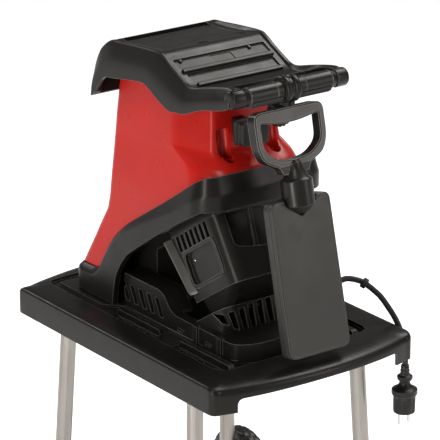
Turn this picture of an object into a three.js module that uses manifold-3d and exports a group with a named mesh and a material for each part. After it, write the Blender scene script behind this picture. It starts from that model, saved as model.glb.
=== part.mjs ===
// Electric wood chipper on a four-legged stand: a knife disc on an inclined motor under a tilting red hopper.
// Millimetres, +X to the right, -Y to the front (the tamper side), +Z up, origin on the ground.
import * as THREE from 'three';
import { mergeVertices } from 'three/addons/utils/BufferGeometryUtils.js';
import Module from 'manifold-3d';

const wasm = await Module();
wasm.setup();

// ---------- driving dimensions ----------
const GAP = 0.3; // clearance between pieces that touch
const TABLE = { top: 470, width: 376, depth: 522, bulge: 27, plate: 10, skirt: 43, wall: 4, corner: 14 };
const RECESS = { halfWidth: 141, front: -214, rear: 250, depth: 5 };
const LEG = { radius: 12.5, bore: 11, x: 150, y: 165, splay: 0.045 };
const WHEEL = { radius: 75, width: 27, axleHeight: 75, x: 199, y: 183 };
const AXLE_RADIUS = 5;
const HINGE = { y: 214, z: 12, pinRadius: 4 };
const DRIVE = { y: -48.5, z: 182, tilt: 33 }; // centre of the knife disc, its axis leaning to the rear
const DISC = { radius: 76, halfThickness: 4, chamber: 83 };
const MOTOR = { halfWidth: 85, front: -73, rear: 55, rearLow: 44, top: -20, bottom: -125, wall: 4 };
const BAND = { halfWidth: 116, front: -140, rear: 206, wall: 10 };
const BAR = { y: -186, z: 399, radius: 14, halfLength: 82 };
const TAMPER = { y: -271, z: 23, tilt: 13.5, width: 112, bottom: -8, top: 225, thickness: 22 };
const HUB = { y: 4, radius: 24, bottom: 202, shoulder: 214, top: 253, tip: 282 };
const KNOB = { x: 12, y: -154, z: 353, radius: 22, length: 17 };
const SWITCH = { x: -14, z: 315.5, width: 48, height: 45, front: -120, plate: 15, neckInset: 11 };
const CABLE_RADIUS = 4.5;
const CHUTE = { x: 34, rear: 6, front: -62 };
const RESET = { y: 8, z: -110, radius: 6.6, length: 5.5 }; // overload button of the motor
const SHOULDER_SCREW = { x: 43, y: -104, z: 272, radius: 6 };

const BLACK = { color: 0x32302c, roughness: 0.55, metalness: 0 };
const DARK = { color: 0x1f1e1c, roughness: 0.7, metalness: 0 };
const RED = { color: 0xc0302a, roughness: 0.4, metalness: 0 };
const GREY = { color: 0x6b6863, roughness: 0.5, metalness: 0 };
const STEEL = { color: 0xa8a39c, roughness: 0.35, metalness: 0.9 };
const COPPER = { color: 0x8a5a36, roughness: 0.5, metalness: 0.7 };
const RUBBER = { color: 0x1a1a1a, roughness: 0.85, metalness: 0 };
const GREEN = { color: 0x2f8f46, roughness: 0.5, metalness: 0 };

// ---------- solids ----------
function solid(geometry) {
  const bare = geometry.index ? geometry.toNonIndexed() : geometry.clone();
  bare.deleteAttribute('normal');
  bare.deleteAttribute('uv');
  const merged = mergeVertices(bare, 1e-4);
  return new wasm.Manifold(
    new wasm.Mesh({
      numProp: 3,
      vertProperties: new Float32Array(merged.attributes.position.array),
      triVerts: new Uint32Array(merged.index.array),
    }),
  );
}

function geometryOf(manifold) {
  const made = manifold.getMesh();
  const positions = new Float32Array(made.numVert * 3);
  for (let i = 0; i < made.numVert; i++) {
    positions.set(made.vertProperties.subarray(i * made.numProp, i * made.numProp + 3), i * 3);
  }
  const geometry = new THREE.BufferGeometry();
  geometry.setAttribute('position', new THREE.BufferAttribute(positions, 3));
  geometry.setIndex(new THREE.BufferAttribute(new Uint32Array(made.triVerts), 1));
  const faceted = geometry.toNonIndexed();
  faceted.computeVertexNormals();
  return faceted;
}

const join = (...pieces) => pieces.reduce((a, b) => a.add(b));
const cut = (base, ...tools) => tools.reduce((a, b) => a.subtract(b), base);

// A closed outline through the points, each corner rounded off by the radius given with it.
function outline(points, radius = 0, segments = 3) {
  const shape = new THREE.Shape();
  const n = points.length;
  points.forEach(([x, y, own], i) => {
    const r = own ?? radius;
    const here = new THREE.Vector2(x, y);
    const before = new THREE.Vector2(...points[(i + n - 1) % n].slice(0, 2));
    const after = new THREE.Vector2(...points[(i + 1) % n].slice(0, 2));
    const start = here.clone().add(before.clone().sub(here).setLength(r));
    const end = here.clone().add(after.clone().sub(here).setLength(r));
    const curve = new THREE.QuadraticBezierCurve(start, here, end);
    const through = r > 0 ? curve.getPoints(segments) : [here];
    through.forEach((p, k) => (i + k === 0 ? shape.moveTo(p.x, p.y) : shape.lineTo(p.x, p.y)));
  });
  return shape;
}

const extrude = (shape, depth, options = {}) =>
  new THREE.ExtrudeGeometry(shape, { depth, bevelEnabled: false, curveSegments: 6, ...options });

// Extrusions along each axis, from one coordinate to the other.
function alongZ(shape, z0, z1, options) {
  return extrude(shape, z1 - z0, options).translate(0, 0, z0);
}
function alongX(shape, x0, x1, options) {
  const turn = new THREE.Matrix4().makeBasis(
    new THREE.Vector3(0, 1, 0),
    new THREE.Vector3(0, 0, 1),
    new THREE.Vector3(1, 0, 0),
  );
  return extrude(shape, x1 - x0, options).applyMatrix4(turn).translate(x0, 0, 0);
}
function alongY(shape, y0, y1, options) {
  return extrude(shape, y1 - y0, options).rotateX(Math.PI / 2).translate(0, y1, 0);
}

function box([x0, x1], [y0, y1], [z0, z1]) {
  const size = new THREE.BoxGeometry(x1 - x0, y1 - y0, z1 - z0);
  return size.translate((x0 + x1) / 2, (y0 + y1) / 2, (z0 + z1) / 2);
}

// A turned solid about the axis from a point along a direction; the profile lists [radius, distance].
function turned(profile, origin, direction, segments = 32) {
  const points = profile.map(([r, h]) => new THREE.Vector2(r, h));
  const geometry = new THREE.LatheGeometry(points, segments);
  const turn = new THREE.Quaternion().setFromUnitVectors(
    new THREE.Vector3(0, 1, 0),
    new THREE.Vector3(...direction).normalize(),
  );
  return geometry.applyQuaternion(turn).translate(...origin);
}
const rod = (radius, length) => [[0, 0], [radius, 0], [radius, length], [0, length]];
const tube = (bore, radius, length) => [[bore, 0], [radius, 0], [radius, length], [bore, length], [bore, 0]];

// An outline given in shares of a section, swept through levels that each place it.
function loft(shape, levels, place) {
  const last = levels.length - 1;
  const geometry = extrude(shape, 1, { steps: last });
  const position = geometry.attributes.position;
  for (let i = 0; i < position.count; i++) {
    const level = levels[Math.round(position.getZ(i) * last)];
    position.setXYZ(i, ...place(position.getX(i), position.getY(i), level));
  }
  return geometry;
}

const machine = new THREE.Group(); // its origin is the middle of the table top
machine.position.z = TABLE.top;
const drive = new THREE.Group(); // +Z along the motor shaft, up to the knife disc; -Y towards the front
drive.position.set(0, DRIVE.y, DRIVE.z);
drive.rotation.x = -THREE.MathUtils.degToRad(DRIVE.tilt);
const tamper = new THREE.Group(); // +Z up the paddle, +Y to its back, origin at its bottom edge
tamper.position.set(0, TAMPER.y, TAMPER.z);
tamper.rotation.x = -THREE.MathUtils.degToRad(TAMPER.tilt);
machine.add(drive, tamper);
drive.updateMatrix();

function part(name, made, look, parent = machine) {
  const geometry = made.isBufferGeometry ? made : geometryOf(made);
  const mesh = new THREE.Mesh(geometry, new THREE.MeshStandardMaterial(look));
  mesh.name = name;
  parent.add(mesh);
}
// A shape drawn upright in the machine's frame, carried into the drive's leaning frame.
const intoDrive = (geometry) => geometry.applyMatrix4(drive.matrix.clone().invert());

// ---------- stand ----------
const legPoint = (side, end, z) => {
  const drop = -z * LEG.splay;
  return [side * (LEG.x + drop), end * (LEG.y + drop), z];
};
const legAxis = (side, end) => [side * LEG.splay, end * LEG.splay, -1];

function tableOutline(inset) {
  const w = TABLE.width / 2 - inset;
  const d = TABLE.depth / 2 - inset;
  const corner = TABLE.corner;
  const shape = new THREE.Shape();
  shape.moveTo(-w + corner, -d);
  shape.quadraticCurveTo(0, -d - 2 * TABLE.bulge, w - corner, -d);
  shape.quadraticCurveTo(w, -d, w, -d + corner);
  shape.lineTo(w, d - corner);
  shape.quadraticCurveTo(w, d, w - corner, d);
  shape.quadraticCurveTo(0, d + 2 * TABLE.bulge, -w + corner, d);
  shape.quadraticCurveTo(-w, d, -w, d - corner);
  shape.lineTo(-w, -d + corner);
  shape.quadraticCurveTo(-w, -d, -w + corner, -d);
  return shape;
}

function buildTable() {
  const edge = { bevelEnabled: true, bevelThickness: 4, bevelSize: 4, bevelSegments: 2, bevelOffset: -4 };
  const curved = { curveSegments: 10 };
  let table = solid(alongZ(tableOutline(0), -TABLE.skirt - 10, -4, { ...edge, ...curved }));
  table = cut(table, solid(box([-300, 300], [-400, 400], [-TABLE.skirt - 20, -TABLE.skirt])));
  const hollow = solid(alongZ(tableOutline(TABLE.wall), -TABLE.skirt - 5, -TABLE.plate, curved));
  // the end skirts are cut away between the deep corners
  const arch = outline([[-148, -60], [-148, -24, 14], [0, -16, 60], [148, -24, 14], [148, -60]], 0, 5);
  const arches = solid(alongY(arch, -330, 330));
  table = cut(table, hollow, arches);
  const { halfWidth: w, front, rear, depth } = RECESS;
  const pocket = outline([[-w, front], [w, front], [w, rear], [-w, rear]], 22, 4);
  table = cut(table, solid(alongZ(pocket, -depth, 5)));
  for (const side of [-1, 1]) {
    for (const end of [-1, 1]) {
      const socket = turned(rod(LEG.radius + 4.5, 46), legPoint(side, end, -4), legAxis(side, end), 20);
      table = table.add(solid(socket));
    }
    for (const [y0, y1] of [[-35, 82], [-210, -80]]) {
      const bar = outline([[y0, -5.5], [y0 + 3, 0], [y1 - 3, 0], [y1, -5.5]]);
      table = table.add(solid(alongX(bar, side * 116 - 4, side * 116 + 4)));
      for (let k = 0; k < 3; k++) {
        const y = y0 + 14 + (k * (y1 - y0 - 28)) / 2;
        const x = side * 128;
        table = cut(table, solid(box([x - 5, x + 5], [y - 9, y + 9], [-30, 1])));
      }
    }
  }
  for (const side of [-1, 1]) {
    for (const end of [-1, 1]) {
      const bore = turned(rod(LEG.radius + GAP, 60), legPoint(side, end, -9), legAxis(side, end), 20);
      table = cut(table, solid(bore));
    }
  }
  return cut(table, solid(box([-66, 66], [50, 124], [-60, 10])));
}

function buildLegs() {
  for (const [end, place] of [[-1, 'front'], [1, 'rear']]) {
    for (const [side, hand] of [[-1, 'left'], [1, 'right']]) {
      const low = end < 0 ? -458 : -412;
      const top = legPoint(side, end, -10);
      const length = (-10 - low) * Math.hypot(1, LEG.splay, LEG.splay);
      let leg = solid(turned(tube(LEG.bore, LEG.radius, length), top, legAxis(side, end), 20));
      if (end > 0) {
        const y = WHEEL.y;
        const z = WHEEL.axleHeight - TABLE.top;
        leg = cut(leg, solid(turned(rod(AXLE_RADIUS + GAP, 80), [side * 130, y, z], [side, 0, 0], 20)));
      }
      part(`leg_${place}_${hand}`, leg, STEEL);
    }
  }
  for (const [side, hand] of [[-1, 'left'], [1, 'right']]) {
    const ground = -TABLE.top;
    const profile = [[0, 0], [17, 0], [17, 34], [LEG.radius + 3, 40], [0, 40]];
    let foot = solid(turned(profile, legPoint(side, -1, ground - 1), [-side * LEG.splay, LEG.splay, 1], 20));
    const seat = turned(rod(LEG.radius + GAP, 60), legPoint(side, -1, -400), legAxis(side, -1), 20);
    foot = cut(foot, solid(box([-300, 300], [-300, 300], [ground - 20, ground])), solid(seat));
    part(`foot_${hand}`, foot, RUBBER);
  }
}

function buildWheels() {
  const z = WHEEL.axleHeight - TABLE.top;
  const halfAxle = WHEEL.x + WHEEL.width / 2 + 4;
  part('axle', solid(turned(rod(AXLE_RADIUS, 2 * halfAxle), [-halfAxle, WHEEL.y, z], [1, 0, 0], 20)), STEEL);
  const half = WHEEL.width / 2;
  const profile = [
    [AXLE_RADIUS + GAP, -half - 1], [16, -half - 1], [18, -4], [56, -4], [58, -half + 1], [70, -half],
    [WHEEL.radius, -half + 5], [WHEEL.radius, half - 5], [70, half], [58, half - 1], [56, 4], [18, 4],
    [16, half + 1], [AXLE_RADIUS + GAP, half + 1], [AXLE_RADIUS + GAP, -half - 1],
  ];
  for (const [side, hand] of [[-1, 'left'], [1, 'right']]) {
    part(`wheel_${hand}`, solid(turned(profile, [side * WHEEL.x, WHEEL.y, z], [side, 0, 0], 40)), DARK);
    const inner = AXLE_RADIUS + GAP;
    const cap = [[0, 8], [inner, 8], [inner, 0], [13, 0], [13, 5], [9, 11], [0, 12]];
    const at = side * (WHEEL.x + half + 1 + GAP);
    part(`hub_cap_${hand}`, solid(turned(cap, [at, WHEEL.y, z], [side, 0, 0], 20)), GREY);
  }
}

function buildBaseFrame() {
  const plan = [[-97, -199], [-68, -209], [68, -209], [97, -199], [104, 92], [126, 112], [126, 232],
    [-126, 232],
    [-126, 112], [-104, 92]];
  const floorTop = -GAP;
  let frame = solid(alongZ(outline(plan, 6, 2), -RECESS.depth + GAP, floorTop));
  const wallPlan = (inset) => {
    const w = 100 - inset;
    return outline([[-w, -192 + inset], [-68, -206 + inset], [68, -206 + inset], [w, -192 + inset],
      [w, 93], [-w, 93]], 5, 2);
  };
  const ring = cut(solid(alongZ(wallPlan(0), -2, 54)), solid(alongZ(wallPlan(3), -10, 60)));
  const side = outline([[93, -3], [93, 53], [-10, 53, 10], [-36, 24, 10], [-212, 24], [-212, -3]], 0, 3);
  frame = frame.add(ring.intersect(solid(alongX(side, -130, 130))));
  for (const at of [-1, 1]) {
    for (let k = 0; k < 5; k++) {
      const y = 84 - k * 22;
      const slot = outline([[y, 12], [y - 10, 12], [y + 3, 38], [y + 13, 38]]);
      frame = cut(frame, solid(alongX(slot, at * 100 - 6, at * 100 + 6)));
    }
    for (const y of [-100, -168]) {
      frame = frame.add(solid(box([at * 101.5 - 3, at * 101.5 + 3], [y - 4, y + 4], [-3, 26])));
    }
    const lug = outline([[HINGE.y - 7, -3], [HINGE.y - 7, 20, 5], [HINGE.y + 7, 20, 5], [HINGE.y + 7, -3]]);
    frame = frame.add(solid(alongX(lug, at * 74 - 6, at * 74 + 6)));
  }
  const pinHole = turned(rod(HINGE.pinRadius + GAP, 240), [-120, HINGE.y, HINGE.z], [1, 0, 0], 20);
  return cut(frame, solid(box([-64, 64], [52, 122], [-20, 5])), solid(pinHole));
}

function buildFanCowl() {
  const shell = outline([[-70, GAP], [-70, 16.5], [-150, 68.4], [-150, GAP]]);
  const inner = outline([[-73, -5], [-73, 13.5], [-147, 63.5], [-147, -5]]);
  let cowl = cut(solid(alongX(shell, -90, 90)), solid(alongX(inner, -87, 87)));
  for (let k = 0; k < 6; k++) {
    const x = -80 + k * 16;
    const low = 13 - k;
    const high = 42 + k * 3.5;
    const slot = outline([[x, low], [x + 9, low], [x + 5, high], [x - 4, high]]);
    cowl = cut(cowl, solid(alongY(slot, -155, -140)));
  }
  return cut(cowl, solid(box([-40, 40], [-140, -80], [20, 70])));
}

// ---------- drive, in its leaning frame ----------
function buildMotorHousing() {
  const { halfWidth: w, front, rear, rearLow, top, bottom, wall } = MOTOR;
  const plan = (inset) => outline([
    [-w + inset, rear - inset, 10], [-w + inset, front + inset, 48], [w - inset, front + inset, 48],
    [w - inset, rear - inset, 10],
  ], 0, 6);
  let housing = solid(alongZ(plan(0), bottom, top));
  // the rear wall slants in towards the bottom
  const slant = outline([[rear + 9, top + 5], [rear, top + 5], [rearLow, bottom - 5],
    [rear + 9, bottom - 5]]);
  const innerSlant = outline([[rear - wall, top + 9], [rearLow - wall, bottom], [-200, bottom],
    [-200, top + 9]]);
  housing = cut(housing, solid(alongX(slant, -100, 100)));
  const neck = outline([[-60, -23], [60, -23], [60, 28], [-60, 28]], 12);
  housing = housing.add(solid(alongZ(neck, bottom - 24.7, bottom + 1)));
  const hollow = solid(alongZ(plan(wall), bottom + wall, top + 10)).intersect(solid(alongX(innerSlant, -100,
    100)));
  const neckHollow = outline([[-56, -19], [56, -19], [56, 24], [-56, 24]], 10);
  housing = cut(housing, hollow, solid(alongZ(neckHollow, bottom - 40, bottom + 10)));
  for (const side of [-1, 1]) {
    for (let k = 0; k < 7; k++) {
      const y = 42 - k * 12.5;
      housing = cut(housing, solid(box([side * w - 8, side * w + 8], [y - 7, y], [-43, -24])));
    }
    const panel = outline([[-42, -99], [30, -99], [30, -49], [-42, -49]], 12);
    housing = cut(housing, solid(alongX(panel, side * (w - 0.5) - 1.5, side * (w - 0.5) + 1.5)));
    const strut = outline([[rear - 1, top - 2], [rear - 11, top - 2], [26, bottom + 4], [34, bottom + 4]]);
    housing = housing.add(solid(alongX(strut, side * (w + 1) - 2, side * (w + 1) + 2)));
  }
  const resetHole = turned(rod(RESET.radius + 0.9, 20), [w - 10, RESET.y, RESET.z], [1, 0, 0], 16);
  return cut(housing, solid(resetHole));
}

function buildDeck() {
  const r = DISC.chamber;
  const bore = 16 + GAP;
  const profile = [[bore, -19.7], [r, -19.7], [r, 12], [r - 5, 12], [r - 5, -14], [bore, -14], [bore, -19.7]];
  const mouth = solid(box([-56, 56], [58, 120], [-13.9, 20]));
  return cut(solid(turned(profile, [0, 0, 0], [0, 0, 1], 40)), mouth);
}

function buildDrive() {
  part('motor_housing', buildMotorHousing(), BLACK, drive);
  part('cutter_deck', buildDeck(), STEEL, drive);
  const up = [0, 0, 1];
  part('motor_stator', solid(turned(tube(26, 42, 50), [0, 0, -92], up, 24)), STEEL, drive);
  const windings = solid(turned(tube(28, 38, 8), [0, 0, -100.5], up, 24));
  part('stator_winding', windings, COPPER, drive);
  const bore = turned(rod(16 + GAP, 10), [0, 0, -120], up, 24);
  const bracket = cut(solid(box([-80.5, 80.5], [-20, 20], [-118, -112])), solid(bore));
  part('motor_bracket', bracket, STEEL, drive);
  for (const [name, z] of [['bearing_upper', -19], ['bearing_lower', -119]]) {
    part(name, solid(turned(tube(6 + GAP, 16, 8), [0, 0, z], up, 24)), STEEL, drive);
  }
  const shaft = [[0, -121], [6, -121], [6, -90], [24.5, -90], [24.5, -46], [6, -46], [6, -5], [0, -5]];
  part('rotor', solid(turned(shaft, [0, 0, 0], up, 24)), STEEL, drive);
  let disc = solid(turned(rod(DISC.radius, 2 * DISC.halfThickness), [0, 0, -DISC.halfThickness], up, 40));
  const knife = (side) => [side * 20, side * 50];
  for (const side of [-1, 1]) {
    const [a, b] = knife(side).sort((p, q) => p - q);
    disc = cut(disc, solid(box([a - 12, b + 12], [side * 19 - 4, side * 19 + 4], [-10, 10])));
    const blade = outline([[-side * 15, 4.3], [side * 15, 4.3], [side * 19, 8.3], [-side * 15, 8.3]]);
    const blank = side > 0 ? blade : outline([[15, 4.3], [15, 8.3], [-19, 8.3], [-15, 4.3]]);
    let knifeBlade = solid(alongX(blank, a - 10, b + 10));
    knife(side).forEach((x, k) => {
      const seat = turned(rod(3.6, 12), [x, 0, 0], up, 12);
      knifeBlade = cut(knifeBlade, solid(seat));
      disc = cut(disc, solid(turned(rod(3.6, 12), [x, 0, -6], up, 12)));
      const screw = turned(rod(3.3, 11.6), [x, 0, -3], up, 12);
      part(`blade_screw_${side < 0 ? 'a' : 'b'}${k + 1}`, solid(screw), STEEL, drive);
    });
    part(`blade_${side < 0 ? 'a' : 'b'}`, knifeBlade, STEEL, drive);
  }
  part('cutting_disc', disc, STEEL, drive);
  part('disc_bolt', solid(turned(rod(10, 5), [0, 0, 4 + GAP], up, 6)), STEEL, drive);
  const reset = turned(rod(RESET.radius, RESET.length), [MOTOR.halfWidth - 1.5, RESET.y, RESET.z],
    [1, 0, 0], 16);
  part('reset_button', solid(reset), RED, drive);
}

function buildDischargeChute() {
  const duct = outline([[29, 147.5], [90, 125], [118, 95], [118, -45], [58, -45], [58, 92], [11.5, 120]]);
  const bore = outline([[15, 149.5], [88.5, 122.2], [115, 93.8], [115, -60], [61, -60], [61, 93.7],
    [2, 129.2]]);
  return cut(solid(alongX(duct, -60, 60)), solid(alongX(bore, -57, 57)));
}

// ---------- hopper ----------
// the line where the red hopper meets the black band, from the rear foot up to the front
const SEAM = [[206, 43], [160, 44], [138, 58], [125, 82], [99, 115], [66, 142], [5, 181], [-55, 220],
  [-93, 246],
  [-131, 266], [-150, 267]];
const HOPPER = [ // level by level
  { z: 30, half: 107, front: -133, rear: 203 },
  { z: 67, half: 106, front: -133, rear: 187 },
  { z: 110, half: 105, front: -133, rear: 164 },
  { z: 143, half: 104, front: -133, rear: 144 },
  { z: 200, half: 103, front: -133, rear: 142 },
  { z: 240, half: 101, front: -132, rear: 141 },
  { z: 267, half: 96, front: -128, rear: 141 },
  { z: 276, half: 91, front: -93, rear: 140 },
  { z: 300, half: 86, front: -88, rear: 140 },
  { z: 368, half: 79, front: -77, rear: 134 },
];

function hopperLoft(inset) {
  const halfSection = [[1, 0, 0.06], [1, 0.74, 0.1], [0.8, 1, 0.1]];
  const otherHalf = halfSection.map(([u, v, r]) => [-u, v, r]).reverse();
  const place = (u, v, level) => {
    const rear = level.rear - inset;
    const front = level.front + inset;
    return [-u * (level.half - inset), rear + v * (front - rear), level.z];
  };
  return solid(loft(outline([...otherHalf, ...halfSection]), HOPPER, place));
}

function buildHopper() {
  const below = outline([...SEAM.map(([y, z]) => [y, z + GAP]), [-150, -30], [230, -30], [230, 43 + GAP]]);
  return cut(hopperLoft(0), hopperLoft(3.5), solid(alongX(below, -140, 140)));
}

function buildBand() {
  const { halfWidth: w, front, rear, wall } = BAND;
  const plan = (inset) => outline([
    [-w + inset, front + inset, 36 - inset], [w - inset, front + inset, 36 - inset],
    [w - inset, rear - inset, 20 - inset], [-w + inset, rear - inset, 20 - inset],
  ], 0, 6);
  const ring = cut(solid(alongZ(plan(0), -5, 300)), solid(alongZ(plan(wall), -10, 310)));
  const lower = [[-150, 214], [-125, 212], [-114, 206], [-67, 178], [-25, 152], [27, 117], [59, 94], [90, 51],
    [101, 0.5], [220, 0.5]];
  const profile = outline([...SEAM, ...lower]);
  let band = ring.intersect(solid(alongX(profile, -140, 140)));
  const knuckle = turned(rod(8, 135), [-67.5, HINGE.y, HINGE.z], [1, 0, 0], 20);
  const web = box([-67.5, 67.5], [rear - 6, HINGE.y], [7, 17]);
  band = join(band, solid(knuckle), solid(web));
  for (const side of [-1, 1]) {
    band = cut(band, solid(box([side * 74 - 8, side * 74 + 8], [rear - 20, rear + 5], [-2, 28])));
  }
  return cut(band, solid(turned(rod(HINGE.pinRadius + GAP, 240), [-120, HINGE.y, HINGE.z], [1, 0, 0], 20)));
}

function buildFeedChute() {
  const square = outline([[-1, -1], [1, -1], [1, 1], [-1, 1]]);
  const levels = [
    { z: 100, half: CHUTE.x, front: CHUTE.front, rear: CHUTE.rear },
    { z: 250, half: CHUTE.x, front: CHUTE.front, rear: CHUTE.rear },
    { z: 396, half: 72, front: 4, rear: 112 },
  ];
  const place = (grow) => (u, v, level) => {
    const middle = (level.front + level.rear) / 2;
    const reach = (level.rear - level.front) / 2 + grow;
    return [u * (level.half + grow), middle + v * reach, level.z];
  };
  const wall = 3;
  const outer = solid(loft(square, levels, place(wall)));
  const inner = levels.map((level, i) => ({ ...level, z: level.z + [-5, 0, 5][i] }));
  const chute = cut(outer, solid(loft(square, inner, place(0))));
  const under = box([-200, 200], [-200, 200], [-300, 18 + GAP]).applyMatrix4(drive.matrix);
  return cut(chute, solid(under));
}

function buildChamberCover() {
  const plate = solid(turned([[0, 14], [DISC.chamber, 14], [DISC.chamber, 18], [0, 18]], [0, 0, 0],
    [0, 0, 1], 40));
  const shaft = box([-CHUTE.x, CHUTE.x], [CHUTE.front, CHUTE.rear], [0, 400]);
  return cut(plate, solid(intoDrive(shaft)));
}

const hoodTop = [[168, 322], [164, 368, 12], [150, 398, 10], [122, 417, 8], [3, 427, 8], [-31, 412, 8],
  [-73, 393, 12],
  [-105, 398, 12], [-178, 415, 8], [-200, 411, 8], [-203, 392, 6]];
const hoodSkirt = [[-175, 386], [-163, 374, 6], [-77, 352, 8], [-20, 354, 8], [19, 373, 6], [33, 374],
  [101, 363],
  [126, 359, 6], [151, 333], [160, 322]];

function buildHood() {
  const bevel = { bevelEnabled: true, bevelThickness: 7, bevelSize: 5, bevelSegments: 2, bevelOffset: -5 };
  let hood = solid(alongX(outline([...hoodTop, ...hoodSkirt], 0, 3), -99, 99, bevel));
  const cavity = outline([[161, 300], [158, 364, 10], [145, 393, 8], [120, 406], [3, 416], [-30, 403],
    [-72, 384],
    [-106, 391], [-106, 300]]);
  hood = cut(hood, solid(alongX(cavity, -101, 101)));
  const grip = outline([[-84, -215], [-84, -112, 12], [84, -112, 12], [84, -215]], 0, 4);
  hood = cut(hood, solid(alongZ(grip, 330, 440)));
  const tray = outline([[118, 413], [8, 422], [8, 440], [140, 440], [140, 411]]);
  hood = cut(hood, solid(alongX(tray, -88, 88)));
  hood = cut(hood, solid(box([-76, 76], [8, 115], [395, 440])));
  // three slats across the slope, with a step between each two
  const slope = Math.atan2(19, 42);
  for (const [y, z, reach, deep] of [[-27, 413.5, 84, 10], [-52, 402.2, 81, 12]]) {
    const step = new THREE.BoxGeometry(2 * reach, 2 * deep, 6).rotateX(slope).translate(0, y, z);
    hood = cut(hood, solid(step));
  }
  return hood;
}

function buildFlap() {
  const lean = Math.atan2(9, 110);
  const plate = outline([[-75.5, -102.5], [75.5, -102.5], [75.5, 0], [-75.5, 0]], 5, 2);
  const notch = turned(rod(17, 10), [0, -105, -6], [0, 0, 1], 20);
  let flap = cut(solid(alongZ(plate, -4, 0)), solid(notch));
  flap = flap.add(solid(turned(rod(4, 140), [-70, -4.2, -5], [1, 0, 0], 16)));
  flap = cut(flap, solid(turned(rod(2 + GAP, 200), [-100, -4.2, -5], [1, 0, 0], 16)));
  const pin = turned(rod(2, 146), [-73, -4.2, -5], [1, 0, 0], 16);
  const group = new THREE.Group();
  group.position.set(0, 111.5, 413.3);
  group.rotation.x = -lean;
  machine.add(group);
  part('feed_flap', flap, BLACK, group);
  part('flap_pin', solid(pin), STEEL, group);
}

function buildBar() {
  const { y, z, radius, halfLength } = BAR;
  part('handle_bar', solid(turned(rod(radius, 2 * halfLength), [-halfLength, y, z], [1, 0, 0], 28)), BLACK);
  const arc = (r, turn) => [y + r * Math.cos(turn), z + r * Math.sin(turn)];
  const angles = [205, 225, 245, 270, 295, 315, 335].map(THREE.MathUtils.degToRad);
  const outer = angles.map((a) => arc(radius + 3, a));
  const inner = angles.map((a) => arc(radius + GAP + 0.2, a)).reverse();
  for (const [x, hand] of [[-44, 'left'], [44, 'right']]) {
    part(`grip_${hand}`, solid(alongX(outline([...outer, ...inner]), x - 28, x + 28)), RUBBER);
  }
  const clamp = [[radius + GAP, -12], [19, -12], [19.5, -10], [19.5, -3], [17.5, -2], [17.5, 2], [19.5, 3],
    [19.5, 10], [19, 12], [radius + GAP, 12], [radius + GAP, -12]];
  const ring = solid(turned(clamp, [0, y, z], [1, 0, 0], 28));
  const arm = outline([[y + 8, z - 14], [y + 8, z - 21], [KNOB.y + 9.5, z - 21], [KNOB.y + 9.5, KNOB.z - 10],
    [KNOB.y + 16, KNOB.z - 10], [KNOB.y + 16, z - 14]], 2, 2);
  const bore = turned(rod(4 + GAP, 40), [KNOB.x, KNOB.y, KNOB.z], [0, 1, 0], 16);
  const bracket = cut(solid(alongX(arm, -2, 24)), solid(turned(rod(radius + GAP, 60), [-30, y, z],
    [1, 0, 0], 28)));
  part('handle_collar', cut(ring.add(bracket), solid(bore)), BLACK);
}

function buildKnob() {
  const { x, y, z, radius, length } = KNOB;
  const lobes = new THREE.Shape();
  const count = 48;
  for (let i = 0; i < count; i++) {
    const turn = (i / count) * 2 * Math.PI;
    const r = radius - (i % 2) * 1.6;
    const at = [r * Math.cos(turn), r * Math.sin(turn)];
    i === 0 ? lobes.moveTo(...at) : lobes.lineTo(...at);
  }
  const body = alongY(lobes, y - length / 2, y + length / 2).translate(x, 0, z);
  const stud = turned(rod(4, 26), [x, y, z], [0, 1, 0], 16);
  part('holder_knob', join(solid(body), solid(stud)), DARK);
}

function buildSwitch(hopperSolid) {
  const { x, z, width, height, front } = SWITCH;
  const w = width / 2;
  const h = height / 2;
  const face = (inset) => outline([
    [x - w + inset, z - h + 10], [x - w + 10, z - h + inset], [x + w - 10, z - h + inset],
    [x + w - inset, z - h + 10],
    [x + w - inset, z + h - 8], [x + w - 8, z + h - inset], [x - w + 8, z + h - inset],
    [x - w + inset, z + h - 8],
  ], 1.5, 2);
  const plate = solid(alongY(face(0), front, front + SWITCH.plate));
  const neck = solid(box([x - w + SWITCH.neckInset, x + w - SWITCH.neckInset], [front + SWITCH.plate - 1, -78],
    [z - h + SWITCH.neckInset, z + h - SWITCH.neckInset]));
  const clipped = plate.add(neck).subtract(hopperSolid.translate([0, -0.5, 0]));
  let body = clipped.decompose().sort((a, b) => b.volume() - a.volume())[0];
  for (const at of [-11, 11]) {
    body = cut(body, solid(box([x + at - 8.5, x + at + 8.5], [front - 1, front + 12], [z - 12.5, z + 12.5])));
  }
  part('switch_box', body, DARK);
  const keys = [['button_on', -11, GREEN], ['button_off', 11, RED]];
  for (const [name, at, look] of keys) {
    const key = outline([[x + at - 8, z - 12], [x + at + 8, z - 12], [x + at + 8, z + 12],
      [x + at - 8, z + 12]], 2, 2);
    part(name, solid(alongY(key, front - 3, front + 7.5)), look);
  }
  const cover = cut(solid(alongY(face(0), front - 11, front - GAP)),
    solid(alongY(face(3), front - 8, front + 1)));
  part('switch_cover', cover, DARK);
}

// ---------- tamper, in its own leaning frame ----------
const GRIP_OUTER = [[-24, 262, 3], [-27, 272, 5], [-54, 285, 9], [-63, 306, 9], [-63, 358, 14],
  [63, 358, 14], [63, 306, 9], [54, 285, 9], [27, 272, 5], [24, 262, 3]];
const GRIP_INNER = [[0, 281, 14], [-30, 285, 9], [-52, 302, 9], [-53, 343, 6], [0, 331, 25],
  [53, 343, 6], [52, 302, 9], [30, 285, 9]];

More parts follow.
